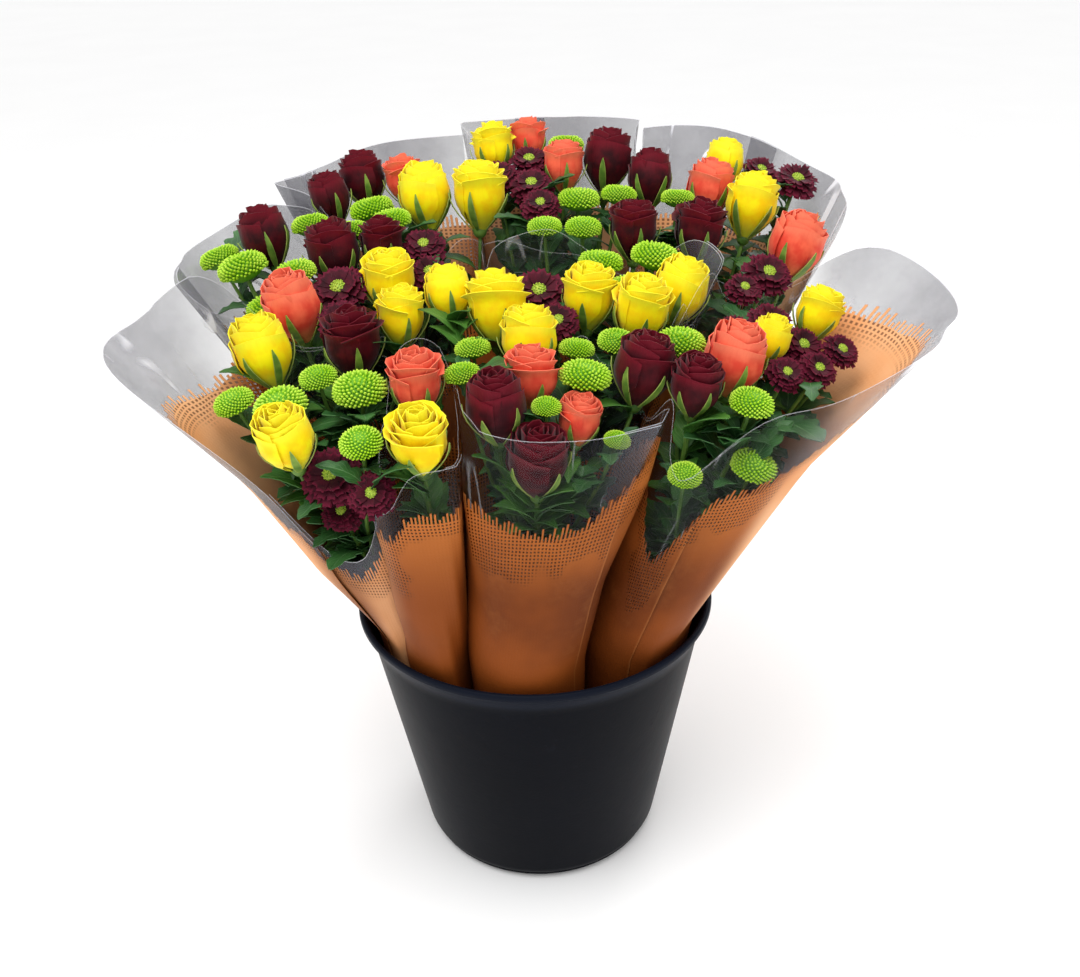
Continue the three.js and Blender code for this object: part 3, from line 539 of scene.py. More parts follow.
def place_heads():
    """Every bloom with its bunch, its middle, the way it faces, and its base, where its stem ends."""
    heads = [
        dict(kind=kind, size=spot[2], middle=spot_to_place(*spot), radius=BLOOM_RADIUS[kind] * spot[2])
        for kind, spots in BLOOMS.items() for spot in spots
    ]

    def far(head, name):
        x, y = bunch_centre(BUNCHES[name], head["middle"][2])
        return math.hypot(head["middle"][0] - x, head["middle"][1] - y) / math.sqrt(BUNCHES[name]["share"])

    for head in heads:
        head["near"] = sorted(BUNCHES, key=lambda name: far(head, name))
        head["bunch"] = head["near"][0]
    for head in heads:
        def likes(name):
            return any(
                other is not head and other["bunch"] == name and other["kind"] == head["kind"]
                for other in heads
            )
        if not likes(head["bunch"]):
            other = next(name for name in head["near"] if likes(name))
            if far(head, other) < LONE_BLOOM_SHIFT * far(head, head["bunch"]):
                head["bunch"] = other
    for settling in range(SETTLING_ROUNDS):
        for i, head in enumerate(heads):
            for other in heads[:i]:
                keep_apart(head, other)
        if settling < SETTLING_ROUNDS / 2:
            for head in heads:
                keep_in_film(head)
    for head in heads:
        root = np.array([*bunch_centre(BUNCHES[head["bunch"]], RIM_HEIGHT), RIM_HEIGHT - FACING_FROM])
        head["facing"] = unit(unit(head["middle"] - root) + [0, 0, FACING_UP])
        head["base"] = head["middle"] - head["facing"] * BLOOM_LENGTH[head["kind"]] * head["size"] / 2
    return heads


heads = place_heads()


# The sprays: the blooms of one kind in one bunch share a main stem, which stands on the bucket's
# floor, passes the rubber band and forks. Each path is drawn wider and wider until it is clear of
# all that is there, so that nothing passes through anything.
TIE_HEIGHT = 205
STEM_RADIUS = 2.4
BRANCH_RADIUS = 1.5
STEM_GAP = 0.5
FOOT_SPREAD = 9
KNOT_RISE = 90
KNOT_SPREAD = 2.5
STEM_NECK = 60
BRANCH_NECK = 30
STEM_STEPS = 4
BRANCH_STEPS = 2
SMOOTHER = 5
STEMS_KEPT_IN = 390
FREE_OVER_BAND = 30
FREE_UNDER_BLOOM = 35
WIDEST_BLOOM = 24
STEM_TO_FILM = 6
CLEARANCE = 1.4
MOST_ROUNDS = 900
BEND_STEP = 0.1
LEAF_LENGTH = 46
LEAF_WIDTH = 25
LEAF_SIZES = (0.8, 1.15)
LEAVES_PER_SPRAY = 2
LEAF_TRIES = 120
LEAF_ROOM = 5
LEAF_TO_FILM = 11
taken = dict(points=np.zeros((0, 3)), radii=np.zeros(0), owners=np.zeros(0, int), names={})
seed = 20


def draw(low, high):
    """The next number of a fixed row of chances, so that every build is the same."""
    global seed
    seed = seed * 16807 % 2147483647
    return low + (high - low) * seed / 2147483647


def take_room(points, radius, owner):
    """Marks places as taken, to a radius, by an owner that may pass through them itself."""
    number = taken["names"].setdefault(owner, len(taken["names"]))
    taken["points"] = np.vstack([taken["points"], points])
    taken["radii"] = np.append(taken["radii"], np.full(len(points), radius))
    taken["owners"] = np.append(taken["owners"], np.full(len(points), number))


def others_near(low, high, owner):
    """What is taken by others in a box, as places and radii."""
    number = taken["names"].get(owner, -1)
    near = (taken["points"] > low).all(1) & (taken["points"] < high).all(1) & (taken["owners"] != number)
    return taken["points"][near], taken["radii"][near]


def is_clear(places, radius, others, clearance=CLEARANCE):
    points, radii = others
    if not len(points):
        return True
    apart = ((places[:, None] - points[None]) ** 2).sum(2)
    return bool((apart >= (radius + radii + clearance) ** 2).all())


def take_bloom_room(head, owner):
    """The room that a bloom takes, as a few balls: one, a ring of them, or a row."""
    middle, facing, radius = head["middle"], head["facing"], head["radius"]
    if head["kind"] == "green_button":
        take_room([middle], radius * 0.97, owner)
    elif head["kind"] == "burgundy_daisy":
        across = unit(np.cross([0, 1, 0], facing))
        third = np.cross(facing, across)
        turns = [i * math.pi / 4 for i in range(8)]
        ring = [middle + (across * math.cos(t) + third * math.sin(t)) * radius * 0.66 for t in turns]
        take_room(ring, radius * 0.36, owner)
        take_room([middle], radius * 0.55, owner)
    else:
        for share in (-0.42, -0.2, 0.05, 0.3):
            point = middle + facing * share * BLOOM_LENGTH[head["kind"]] * head["size"]
            take_room([point], radius * (0.6 if share < -0.3 else 0.98), owner)


def places_along(path):
    """Places three millimetres apart at most along a path of straight steps."""
    places = [path[:1]]
    for start, end in zip(path, path[1:]):
        parts = math.ceil(np.linalg.norm(end - start) / 3)
        places.append(start + (end - start) * (np.arange(1, parts + 1) / parts)[:, None])
    return np.vstack(places)


def curve_points(corners, steps):
    """Points along the curve that a few corners pull."""
    t = (np.arange(steps + 1) / steps)[:, None]
    if len(corners) == 4:
        a, b, c, d = corners
        return (1 - t) ** 3 * a + 3 * (1 - t) ** 2 * t * b + 3 * (1 - t) * t * t * c + t ** 3 * d
    a, b, c = corners
    return (1 - t) ** 2 * a + 2 * (1 - t) * t * b + t * t * c


def stem_curve(spray, bend):
    """The corners that pull a main stem from the band to its first bloom, and its foot."""
    def at(z, out):
        x, y = bunch_centre(spray["bunch"], z)
        return np.array([x + out * math.cos(spray["turn"]), y + out * math.sin(spray["turn"]), z])
    head = spray["heads"][0]
    foot = at(BUCKET_FLOOR + 2 * SEAT_GAP, FOOT_SPREAD)
    knot = at(TIE_HEIGHT, spray["tied"])
    rising = at(TIE_HEIGHT + KNOT_RISE, spray["tied"] * KNOT_SPREAD)
    return [knot, rising, head["base"] - head["facing"] * STEM_NECK + bend, head["base"]], foot


def clear_path(spray, head, radius, make_curve):
    """Draws bends until a path to a bloom is clear and stays in its sleeve while it can."""
    in_sleeve = min(STEMS_KEPT_IN, head["base"][2] - FREE_UNDER_BLOOM)
    near = None
    for attempt in range(MOST_ROUNDS + 1):
        reach = attempt * BEND_STEP
        bend = np.array([draw(-reach, reach) for _ in range(3)])
        corners, foot, steps = make_curve(bend)
        path = curve_points(corners, steps)
        if foot is not None:
            path = np.vstack([foot, path])
        places = places_along(path)
        places = places[places[:, 2] > TIE_HEIGHT + FREE_OVER_BAND]
        low = places[places[:, 2] <= in_sleeve]
        kept = inside_sleeve(spray["bunch"], low, radius + STEM_TO_FILM).all()
        if kept:
            span = WIDEST_BLOOM + radius
            near = others_near(places.min(0) - span, places.max(0) + span, spray["name"])
        if attempt == MOST_ROUNDS or kept and is_clear(places, radius, near):
            take_room(places, radius, spray["name"])
            smooth = curve_points(corners, SMOOTHER * steps)
            return path, smooth if foot is None else np.vstack([foot, smooth])


def grow_sprays():
    """The sprays with their stems set round each bunch's ring, and every path drawn."""
    sprays = []
    for name, bunch in BUNCHES.items():
        x, y = bunch_centre(bunch, BLOOM_LEVEL)
        own = []
        for kind in BLOOMS:
            blooms = [head for head in heads if head["bunch"] == name and head["kind"] == kind]
            if blooms:
                middle = sum(head["middle"] for head in blooms) / len(blooms)
                blooms.sort(key=lambda head: np.linalg.norm(head["middle"] - middle))
                own.append(dict(
                    name=f"{name}_{kind}", bunch=bunch, kind=kind, heads=blooms,
                    bearing=math.atan2(middle[1] - y, middle[0] - x),
                ))
        own.sort(key=lambda spray: spray["bearing"])
        turns = [2 * math.pi * slot / len(own) for slot in range(len(own))]
        start = math.atan2(
            sum(math.sin(spray["bearing"] - turn) for spray, turn in zip(own, turns)),
            sum(math.cos(spray["bearing"] - turn) for spray, turn in zip(own, turns)),
        )
        for spray, turn in zip(own, turns):
            spray["turn"] = start + turn
            ring = math.sin(math.pi / len(own))
            spray["tied"] = (STEM_RADIUS + STEM_GAP / 2) / ring if len(own) > 1 else 0
            for head in spray["heads"]:
                take_bloom_room(head, spray["name"])
        bunch["tied"] = own[0]["tied"] + STEM_RADIUS
        sprays += own
    for spray in sprays:
        def main_curve(bend):
            return (*stem_curve(spray, bend), STEM_STEPS)
        spray["stem"], spray["smooth_stem"] = clear_path(spray, spray["heads"][0], STEM_RADIUS, main_curve)
    for spray in sprays:
        spray["branches"] = []
        for head in spray["heads"][1:]:
            def side_curve(bend):
                low, high = spray["stem"][STEM_STEPS - 2], spray["stem"][STEM_STEPS - 1]
                fork = low + (high - low) * draw(0, 1)
                neck = head["base"] - head["facing"] * BRANCH_NECK
                return [fork, neck + bend, head["base"]], None, BRANCH_STEPS
            spray["branches"].append(clear_path(spray, head, BRANCH_RADIUS, side_curve)[1])
    return sprays


def leaf_frame(root, along, size):
    """Where a leaf lies: its stalk's end, the way it points, and its size."""
    across = unit(np.cross([0, 0, 1], along))
    up = np.cross(along, across)
    return np.array([along * size, across * size, up]), root


def leaf_points(lie):
    """Places on a flat leaf, for the room that it takes."""
    axes, root = lie
    points = [
        (t * LEAF_LENGTH, w * LEAF_WIDTH, 2)
        for t in np.arange(0.2, 1.001, 0.13) for w in (-0.34, 0, 0.34) if w == 0 or 0.2 < t < 0.8
    ]
    return np.array(points) @ axes + root


def grow_leaves(sprays):
    """The large leaves of each stem, turned until they are clear, or left off."""
    for spray in sprays:
        spray["leaves"] = []
        for _ in range(LEAVES_PER_SPRAY):
            for _ in range(LEAF_TRIES):
                step = STEM_STEPS - 2 + math.floor(draw(0, 2))
                low, high = spray["stem"][step], spray["stem"][step + 1]
                root = low + (high - low) * draw(0.1, 0.9)
                turn, rise = draw(0, 2 * math.pi), draw(0.1, 0.9)
                along = unit(np.array([math.cos(turn), math.sin(turn), rise]))
                lie = leaf_frame(root, along, draw(*LEAF_SIZES))
                points = leaf_points(lie)
                near = others_near(points.min(0) - 30, points.max(0) + 30, spray["name"])
                inside = inside_sleeve(spray["bunch"], points, LEAF_TO_FILM).all()
                if inside and is_clear(points, LEAF_ROOM, near):
                    take_room(points, LEAF_ROOM, spray["name"] + "_leaf")
                    take_room([root], BRANCH_RADIUS, spray["name"])
                    spray["leaves"].append(lie)
                    break


sprays = grow_sprays()
grow_leaves(sprays)


# The film's cut edge, all round each sleeve: it follows the sleeve's mouth, or stops under the first
# bloom that hangs out over it, and runs smoothly between. The left one stands up to a corner, given
# by its bearing, width and height.
FILM_TO_BLOOM = 3
BLOOM_HOLD = 0.8
CUT_LOWEST = RIM_HEIGHT + 40
CUT_ROW = 4
CUT_STEPS = 72
CUT_ANGLES = [2 * math.pi * n / CUT_STEPS for n in range(CUT_STEPS)]
CORNERS = dict(left=(131, 14, 24))


def film_top(bunch, angle):
    """Where the film ends at one bearing: at its mouth, or just under a bloom that hangs over it."""
    top = mouth_height(bunch, angle)
    rows = np.arange(CUT_LOWEST, top, CUT_ROW)
    line = np.array([film_point(bunch, z, angle) for z in rows])
    near = ((line[:, None] - bloom_room[None, :, :3]) ** 2).sum(2)
    hit = (near < (bloom_room[:, 3] + FILM_TO_BLOOM) ** 2).any(1)
    return min(top, rows[hit.argmax()] - CUT_ROW) if hit.any() else top


def cut_height(bunch, angle):
    return np.interp(angle, CUT_ANGLES, bunch["cut"], period=2 * math.pi)


bloom_room = []
for head in heads:
    deep = head["size"] * BLOOM_LENGTH[head["kind"]] / 2
    for share in (-0.5, 0, 0.5):
        spot = head["middle"] + head["facing"] * deep * share
        bloom_room.append((*spot, head["radius"] * BLOOM_HOLD))
bloom_room = np.array(bloom_room)
for name, bunch in BUNCHES.items():
    tops = np.array([film_top(bunch, angle) for angle in CUT_ANGLES])
    for _ in range(2):
        tops = np.minimum(tops, np.minimum(np.roll(tops, 1), np.roll(tops, -1)))
    for _ in range(6):
        tops = (np.roll(tops, 1) + 2 * tops + np.roll(tops, -1)) / 4
    if name in CORNERS:
        at, width, rise = CORNERS[name]
        tops += [rise * swell(angle, math.radians(at), math.radians(width)) for angle in CUT_ANGLES]
    bunch["cut"] = tops


# The smaller foliage: more leaves on every stem and branch, which fill the room under the blooms. They
# may brush each other, but keep out of the blooms and of the film, and hang out over its cut edge.
SMALL_LEAVES = 24
LEAVES_PER_BRANCH = 7
SMALL_LEAF_TRIES = 30
SMALL_LEAF_LOWEST = 290
SMALL_LEAF_SIZES = (0.55, 1.05)
SMALL_LEAF_TO_FILM = 4
LEAF_STALK = 0.14
SEEN_LEAF_TRIES = 12
SEEN_LEAF_LONGEST = 1.5
SEEN_LEAF_OVER_ROOT = 6
SEEN_LEAF_PULL = 0.08
SEEN_LEAF_SHRINK = 0.95
SEEN_LEAVES = [  # the large leaves that show between the blooms: across, down, how deep, how large
    (493, 372, -4, 1.25), (610, 497, 40, 1.2), (480, 478, 40, 1.1), (236, 238, 10, 1.2),
    (222, 368, 12, 1.1), (389, 488, 16, 1), (560, 500, 42, 1), (640, 470, 24, 1), (440, 380, 12, 0.9),
    (700, 430, 20, 1.1), (805, 432, 16, 1), (770, 445, 26, 1), (350, 480, 20, 0.9), (300, 490, 52, 0.9),
    (328, 528, 84, 0.8), (345, 558, 104, 0.7), (316, 508, 66, 0.8),
]


def blade_points(lie):
    """The midrib and both edges of an arched leaf, out to its tip."""
    axes, root = lie
    points = []
    for t in np.arange(0.2, 1.01, 0.1):
        blade = (t - LEAF_STALK) / (1 - LEAF_STALK)
        half = 0.5 * LEAF_WIDTH * math.sin(math.pi * blade ** 0.8) ** 0.7 if t < 1 else 0
        arch = 5 * math.sin(math.pi * t) - 6 * t * t
        points += [(t * LEAF_LENGTH, side * half, arch + 2 * abs(side)) for side in (-1, 0, 1)]
    return np.array(points) @ axes + root


def free_of_film(bunch, points):
    """Whether a leaf is inside its own sleeve, or over its cut edge and clear of the others."""
    levels = (RIM_HEIGHT, 2 * BLOOM_LEVEL - RIM_HEIGHT)

    def over_edge(other):
        middles = [bunch_centre(other, z) for z in levels]
        x = points[:, 0] - np.interp(points[:, 2], levels, [middle[0] for middle in middles])
        y = points[:, 1] - np.interp(points[:, 2], levels, [middle[1] for middle in middles])
        return points[:, 2] > cut_height(other, np.arctan2(y, x)) + 2

    held = inside_sleeve(bunch, points, SMALL_LEAF_TO_FILM)
    out = over_edge(bunch)
    for other in BUNCHES.values():
        if other is not bunch:
            out &= over_edge(other) | ~inside_sleeve(other, points, -SMALL_LEAF_TO_FILM)
    return (held | out).all()


bloom_balls = bloom_room[:, :3], bloom_room[:, 3]
chance = random.Random(5)
for spray in sprays:
    spray["small_leaves"] = []
    shoots = [spray["smooth_stem"], *spray["branches"]]
    for n in range(SMALL_LEAVES + LEAVES_PER_BRANCH * len(shoots)):
        for _ in range(SMALL_LEAF_TRIES):
            shoot = shoots[0] if n < SMALL_LEAVES else shoots[(n - SMALL_LEAVES) % len(shoots)]
            at = chance.randrange(len(shoot) // 3, len(shoot))
            root = shoot[at - 1] + (shoot[at] - shoot[at - 1]) * chance.random()
            turn = chance.uniform(0, 2 * math.pi)
            along = unit(np.array([math.cos(turn), math.sin(turn), chance.uniform(0.1, 1.7)]))
            lie = leaf_frame(root, along, chance.uniform(*SMALL_LEAF_SIZES))
            if root[2] <= SMALL_LEAF_LOWEST or not is_clear(leaf_points(lie), 0, bloom_balls, 0):
                continue
            if free_of_film(spray["bunch"], blade_points(lie)):
                spray["small_leaves"].append(lie)
                break
for across, down, sunk, size in SEEN_LEAVES:
    spot = spot_to_place(across, down, 1, sunk)
    roots = [
        (root, spray)
        for spray in sprays for shoot in (spray["smooth_stem"], *spray["branches"]) for root in shoot
        if RIM_HEIGHT < root[2] < spot[2] - SEEN_LEAF_OVER_ROOT
    ]
    root, spray = min(roots, key=lambda found: np.linalg.norm(spot - found[0]))
    for _ in range(SEEN_LEAF_TRIES):
        reach = max(size, min(SEEN_LEAF_LONGEST, np.linalg.norm(spot - root) / 0.6 / LEAF_LENGTH))
        lie = leaf_frame(root, unit(spot - root), reach)
        if free_of_film(spray["bunch"], blade_points(lie)):
            spray["leaves"].append(lie)
            break
        middle = np.array([*bunch_centre(spray["bunch"], spot[2]), spot[2]])
        spot = spot + (middle - spot) * SEEN_LEAF_PULL
        size *= SEEN_LEAF_SHRINK


# The roses: half-open spray roses. Rows of thin petals are wrapped round a tight heart, each with one
# edge under its neighbour and the outer ones rolled back at the lip, over five narrow sepals and a hip.
ROSE_ROWS = [  # petals, radius, height, how far the lip rolls out, and faces across and along
    (3, 17.6, 38, 4.6, 6, 7), (4, 15.8, 42.5, 3.4, 6, 7), (5, 13, 45, 2.2, 5, 6), (5, 10, 46.5, 1.3, 3, 5),
    (4, 6.8, 47.5, 0.7, 3, 5), (3, 3.8, 47, 0.3, 3, 5),
]
ROSE_STAND = 1.1
ROSE_KINDS = 5
ROSE_SEPALS = 5
PETAL_THICKNESS = 0.45
SEPAL_THICKNESS = 0.6


def thicken(sheet, thickness):
    """Gives a bent sheet its thickness, with every face outwards."""
    bmesh.ops.recalc_face_normals(sheet, faces=sheet.faces)
    bmesh.ops.solidify(sheet, geom=sheet.faces, thickness=thickness)
    bmesh.ops.recalc_face_normals(sheet, faces=sheet.faces)


def thin_sheet(columns, rows, thickness, place):
    """A thin sheet, each point of it put where place says: across from -1 to 1, along from 0 to 1."""
    sheet = new_shape()
    bmesh.ops.create_grid(sheet, x_segments=columns, y_segments=rows, size=1, calc_uvs=True)
    for point in sheet.verts:
        point.co = place(point.co.x, (point.co.y + 1) / 2)
    thicken(sheet, thickness)
    return sheet


def ball(across, high, middle, columns=8, rows=6):
    shape = new_shape()
    bmesh.ops.create_uvsphere(shape, u_segments=columns, v_segments=rows, radius=1, calc_uvs=True)
    bmesh.ops.scale(shape, vec=(across, across, high), verts=shape.verts)
    bmesh.ops.translate(shape, vec=middle, verts=shape.verts)
    return shape


def add_to(whole, part, finish, lie=None):
    """Adds a part to a shape, turned to where it lies, with the finish that it has there."""
    for face in part.faces:
        face.material_index = finish
    if lie is not None:
        bmesh.ops.transform(part, matrix=lie, verts=part.verts)
    carrier = bpy.data.meshes.new("carrier")
    part.to_mesh(carrier)
    part.free()
    whole.from_mesh(carrier)
    bpy.data.meshes.remove(carrier)


def belly(t):
    """How full a rose is at a share of its height."""
    if t < 0.6:
        return 0.24 + 0.76 * (1 - (1 - t / 0.6) ** 1.7)
    return 1 - 0.2 * ((t - 0.6) / 0.4) ** 2


def rose_shape(chance, opening):
    rose = new_shape()
    for row, (count, radius, height, lip, columns, rows) in enumerate(ROSE_ROWS):
        for n in range(count):
            turn = 2 * math.pi * (n + chance.uniform(-0.1, 0.1)) / count + row * 0.9
            reach, tall = radius * chance.uniform(0.95, 1.05), height * chance.uniform(0.95, 1.03)
            roll = lip * opening * chance.uniform(0.6, 1.3)
            half = math.pi / count * 1.32
            wave = chance.uniform(0, 6)
            cusp = 4.6 - 0.6 * row

            def place(s, t):
                over = max(0, (t - 0.72) / 0.28) ** 2
                out = reach * belly(t) + 0.9 * s + roll * over + 0.9 * math.sin(5 * s + wave) * over
                angle = turn + s * half * (0.5 + 0.5 * min(1, t / 0.45))
                high = 4 + tall * t - cusp * abs(s) ** 1.8 * t ** 3 - 0.35 * roll * over
                return out * math.cos(angle), out * math.sin(angle), high
            add_to(rose, thin_sheet(columns, rows, PETAL_THICKNESS, place), 0)
    for n in range(ROSE_SEPALS):
        turn = 2 * math.pi * n / ROSE_SEPALS + chance.uniform(-0.15, 0.15)
        spread = chance.uniform(0, 3.5)

        def place(s, t):
            out = 18.2 * belly(0.74 * t) + 0.6 + spread * t ** 3
            angle = turn + s * 0.24 * (1 - t) ** 0.8 + 0.015 * s
            return out * math.cos(angle), out * math.sin(angle), 3.4 + 28 * t - 0.8 * spread * t ** 3
        add_to(rose, thin_sheet(2, 5, SEPAL_THICKNESS, place), 3)
    add_to(rose, ball(5.2, 5.5, (0, 0, 2.5)), 1)
    return as_mesh("rose", rose)


def petal_finish(name, base, body, tip, depth):
    """A soft petal: one colour at its foot, another over its body, lighter at the lip, finely veined."""
    finish, place, sheet = new_finish(
        name, Specular_IOR_Level=0.14, Sheen_Weight=0.1, Sheen_Roughness=0.4,
    )
    foot = 1 - sheet.part("Y").rise(0.05, 0.42)
    lip = sheet.part("Y").rise(0.72, 1)
    stretched = sheet.node("Mapping", {}, {"Vector": sheet, "Scale": (26, 2.2, 1)})
    veins = stretched.noise(1, 3, 0.6)
    shade = place.noise(95, 2)
    tone = shade.rise(0.3, 0.7).blend(body, depth)
    tone = (lip * 0.75).blend(tone, tip)
    tone = (foot * 0.8).blend(tone, base)
    dress(
        finish, Base_Color=(veins.rise(0.45, 0.75) * 0.22).blend(tone, depth),
        Roughness=0.48 + shade * 0.2, Normal=(veins + place.noise(700, 2) * 0.4).bump(0.0004, 0.5),
    )
    return finish


rose_meshes = [rose_shape(random.Random(n), 0.55 + 0.24 * n) for n in range(ROSE_KINDS)]
petal_finishes = {
    "yellow_rose": petal_finish(
        "yellow_petal", base=colour(206, 214, 60), body=colour(255, 236, 8),
        tip=colour(255, 248, 52), depth=colour(252, 210, 2)),
    "coral_rose": petal_finish(
        "coral_petal", base=colour(240, 150, 84), body=colour(244, 104, 74),
        tip=colour(250, 132, 100), depth=colour(226, 70, 52)),
    "burgundy_rose": petal_finish(
        "burgundy_petal", base=colour(60, 12, 20), body=colour(78, 4, 18),
        tip=colour(112, 12, 32), depth=colour(42, 1, 9)),
}
sepal_green, place, sheet = new_finish("sepal_green", Roughness=0.5, Specular_IOR_Level=0.3)
pale_edge = abs(sheet.part("X") - 0.5).rise(0.36, 0.5)
shade = place.noise(120, 2).rise(0.3, 0.7)
tone = shade.blend(colour(84, 122, 44), colour(126, 156, 62))
dress(
    sepal_green, Base_Color=(pale_edge * 0.5).blend(tone, colour(190, 196, 104)),
    Roughness=0.45 + shade * 0.15, Normal=place.noise(500, 2).bump(0.0003, 0.4),
)


# The green button chrysanthemums: a dome of short, rounded, incurved florets, soft and lime green,
# which grow packed in spirals round a flat heart, on a small green cup.
BUTTON_FLORETS = 250
BUTTON_WIDEST = 116
BUTTON_MIDDLE = 7
BUTTON_STAND = 1.12
BUTTON_KINDS = 4
GOLDEN_TURN = math.radians(137.508)


def spiral_points(count, widest):
    """Directions spread evenly in a spiral over a dome, out to its widest angle from straight up."""
    for k in range(count):
        down = math.acos(1 - (k + 0.5) / count * (1 - math.cos(math.radians(widest))))
        yield down, k * GOLDEN_TURN


def add_copy(whole, mesh, lie, finish=None):
    """Adds a copy of a mesh to a shape, where it lies, in its own finishes or in one."""
    copy = mesh.copy()
    copy.transform(lie)
    if finish is not None:
        copy.polygons.foreach_set("material_index", [finish] * len(copy.polygons))
    whole.from_mesh(copy)
    bpy.data.meshes.remove(copy)


def button_shape(chance, heart):
    """A button bloom, with the florets of its heart lower and more upright."""
    button = new_shape()
    add_to(button, ball(13.6, 8, (0, 0, BUTTON_MIDDLE), 14, 8), 3)
    floret = as_mesh("floret", ball(1, 1, (0, 0, 0), 5, 3))
    for down, turn in spiral_points(BUTTON_FLORETS, BUTTON_WIDEST):
        outwards = Vector((math.cos(turn), math.sin(turn), 0))
        root = outwards * 13.2 * math.sin(down) + Vector((0, 0, BUTTON_MIDDLE + 7.8 * math.cos(down)))
        middle = max(0, 1 - down / heart)
        lean = outwards * (0.25 + 1.1 * math.sin(down)) * (1 - 1.3 * middle)
        lean += Vector((0, 0, 0.75 + 0.35 * math.cos(down) - 0.5 * (down > 1.7)))
        lean += Vector([chance.uniform(-0.1, 0.1) for _ in range(3)])
        long = 4.2 * (1 - 0.4 * middle) * chance.uniform(0.9, 1.1)
        wide = 2.2 * (1 - 0.3 * middle)
        lie = Matrix.Translation(root - Vector((0, 0, 1.6 * middle)) + lean.normalized() * long * 0.32)
        lie = lie @ lean.to_track_quat("Z", "Y").to_matrix().to_4x4()
        lie = lie @ Matrix.Diagonal((wide / 2, wide / 2.3, long / 2, 1))
        add_copy(button, floret, lie)
    add_to(button, ball(8.5, 3.4, (0, 0, 2.6), 10, 6), 1)
    return as_mesh("button", button)


button_meshes = [button_shape(random.Random(n), 0.5 + 0.12 * n) for n in range(BUTTON_KINDS)]
floret_green, place, sheet = new_finish("floret_green", Roughness=0.5, Specular_IOR_Level=0.35)
tip = sheet.part("Y").rise(0.35, 0.9)
shade = place.noise(60, 2).rise(0.3, 0.7)
tone = shade.blend(colour(186, 230, 46), colour(212, 244, 84))
dress(
    floret_green, Base_Color=tip.blend(colour(124, 186, 18), tone),
    Roughness=0.42 + shade * 0.2, Normal=place.noise(900, 2).bump(0.0002, 0.5),
)
petal_finishes["green_button"] = floret_green


# The burgundy daisy chrysanthemums: four rows of narrow notched petals, the inner ones shorter and
# steeper, which grow round a domed lime-green disc of tiny florets.
DAISY_ROWS = [  # petals, reach, tilt, height
    (18, 14.6, -5, 3.2), (17, 13.6, 6, 3.8), (16, 11.6, 17, 4.3), (14, 8.6, 30, 4.6),
]
DAISY_STAND = 1.2
DAISY_TURN = (0, -0.75, 0.1)
DAISY_KINDS = 4
DAISY_FLORETS = 40


def daisy_shape(chance):
    daisy = new_shape()
    for row, (count, reach, tilt, height) in enumerate(DAISY_ROWS):
        for n in range(count):
            turn = 2 * math.pi * (n + 0.37 * row + chance.uniform(-0.2, 0.2)) / count
            long = reach * chance.uniform(0.9, 1.1)
            rise = math.radians(tilt + chance.uniform(-7, 7))

            def place(s, t):
                out = 3.2 + long * t - 0.9 * (abs(s) < 0.5) * (t > 0.9)
                wide = 0.9 + 1.8 * math.sin(math.pi * (0.08 + 0.7 * t)) ** 0.8
                high = height + out * math.tan(rise) - 2.2 * t * t + 0.55 * s * s
                x, y = out * math.cos(turn), out * math.sin(turn)
                return x - s * wide * math.sin(turn), y + s * wide * math.cos(turn), high
            add_to(daisy, thin_sheet(2, 3, 0.4, place), 0)
    add_to(daisy, ball(5, 2.6, (0, 0, 6.4), 10, 6), 3)
    for down, turn in spiral_points(DAISY_FLORETS, 84):
        out = 4.8 * math.sin(down)
        spot = (out * math.cos(turn), out * math.sin(turn), 6.5 + 2.6 * math.cos(down))
        add_to(daisy, ball(0.62, 0.75, spot, 5, 4), 3)
    add_to(daisy, ball(4.8, 3.4, (0, 0, 2.4)), 1)
    return as_mesh("daisy", daisy)


daisy_meshes = [daisy_shape(random.Random(n)) for n in range(DAISY_KINDS)]
petal_finishes["burgundy_daisy"] = petal_finish(
    "daisy_petal", base=colour(48, 4, 20), body=colour(78, 6, 30),
    tip=colour(112, 16, 48), depth=colour(42, 1, 14))
heart_green, place, _ = new_finish("heart_green", Roughness=0.6)
speckle = place.noise(900, 2)
dress(
    heart_green, Base_Color=speckle.rise(0.35, 0.65).blend(colour(120, 158, 30), colour(186, 204, 66)),
    Normal=speckle.bump(0.0003, 0.6),
)
button_heart, place, _ = new_finish("button_heart", Roughness=0.7)
dress(button_heart, Base_Color=place.noise(200, 2).blend(colour(84, 146, 12), colour(108, 170, 22)))


# The leaves: rose leaves are broad with a saw edge, chrysanthemum leaves are cut into lobes. Both are
# folded a little along the midrib and arched, with sunken veins.
LEAF_THICKNESS = 0.6


def leaf_shape(lobed, columns, rows):
    """A leaf on its stalk, along X, cut into lobes or with a saw edge."""
    def place(s, t):
        blade = max(0, (t - LEAF_STALK) / (1 - LEAF_STALK))
        if lobed:
            lobes = 0.5 + 0.5 * abs(math.cos(3.4 * math.pi * blade))
            wide = 12.5 * math.sin(math.pi * blade ** 0.85) ** 0.55 * lobes
        else:
            tooth = 0.9 if round(t * rows) % 2 else -0.5
            wide = 12.3 * math.sin(math.pi * blade ** 0.72) ** 0.85 + tooth * (0.05 < blade < 0.97)
        wide = max(0.7, wide)
        along = t * LEAF_LENGTH + (2.5 if lobed else 1.2) * abs(s) * (blade > 0.1)
        arch = 5 * math.sin(math.pi * t) - 6 * t * t
        fold = 3 * abs(s) * wide / 12.5 - 1.2 * (abs(s) > 0.9) + 0.7 * math.sin(9 * t) * abs(s)
        return along, s * wide, arch + fold
    return as_mesh("leaf", thin_sheet(columns, rows, LEAF_THICKNESS, place))


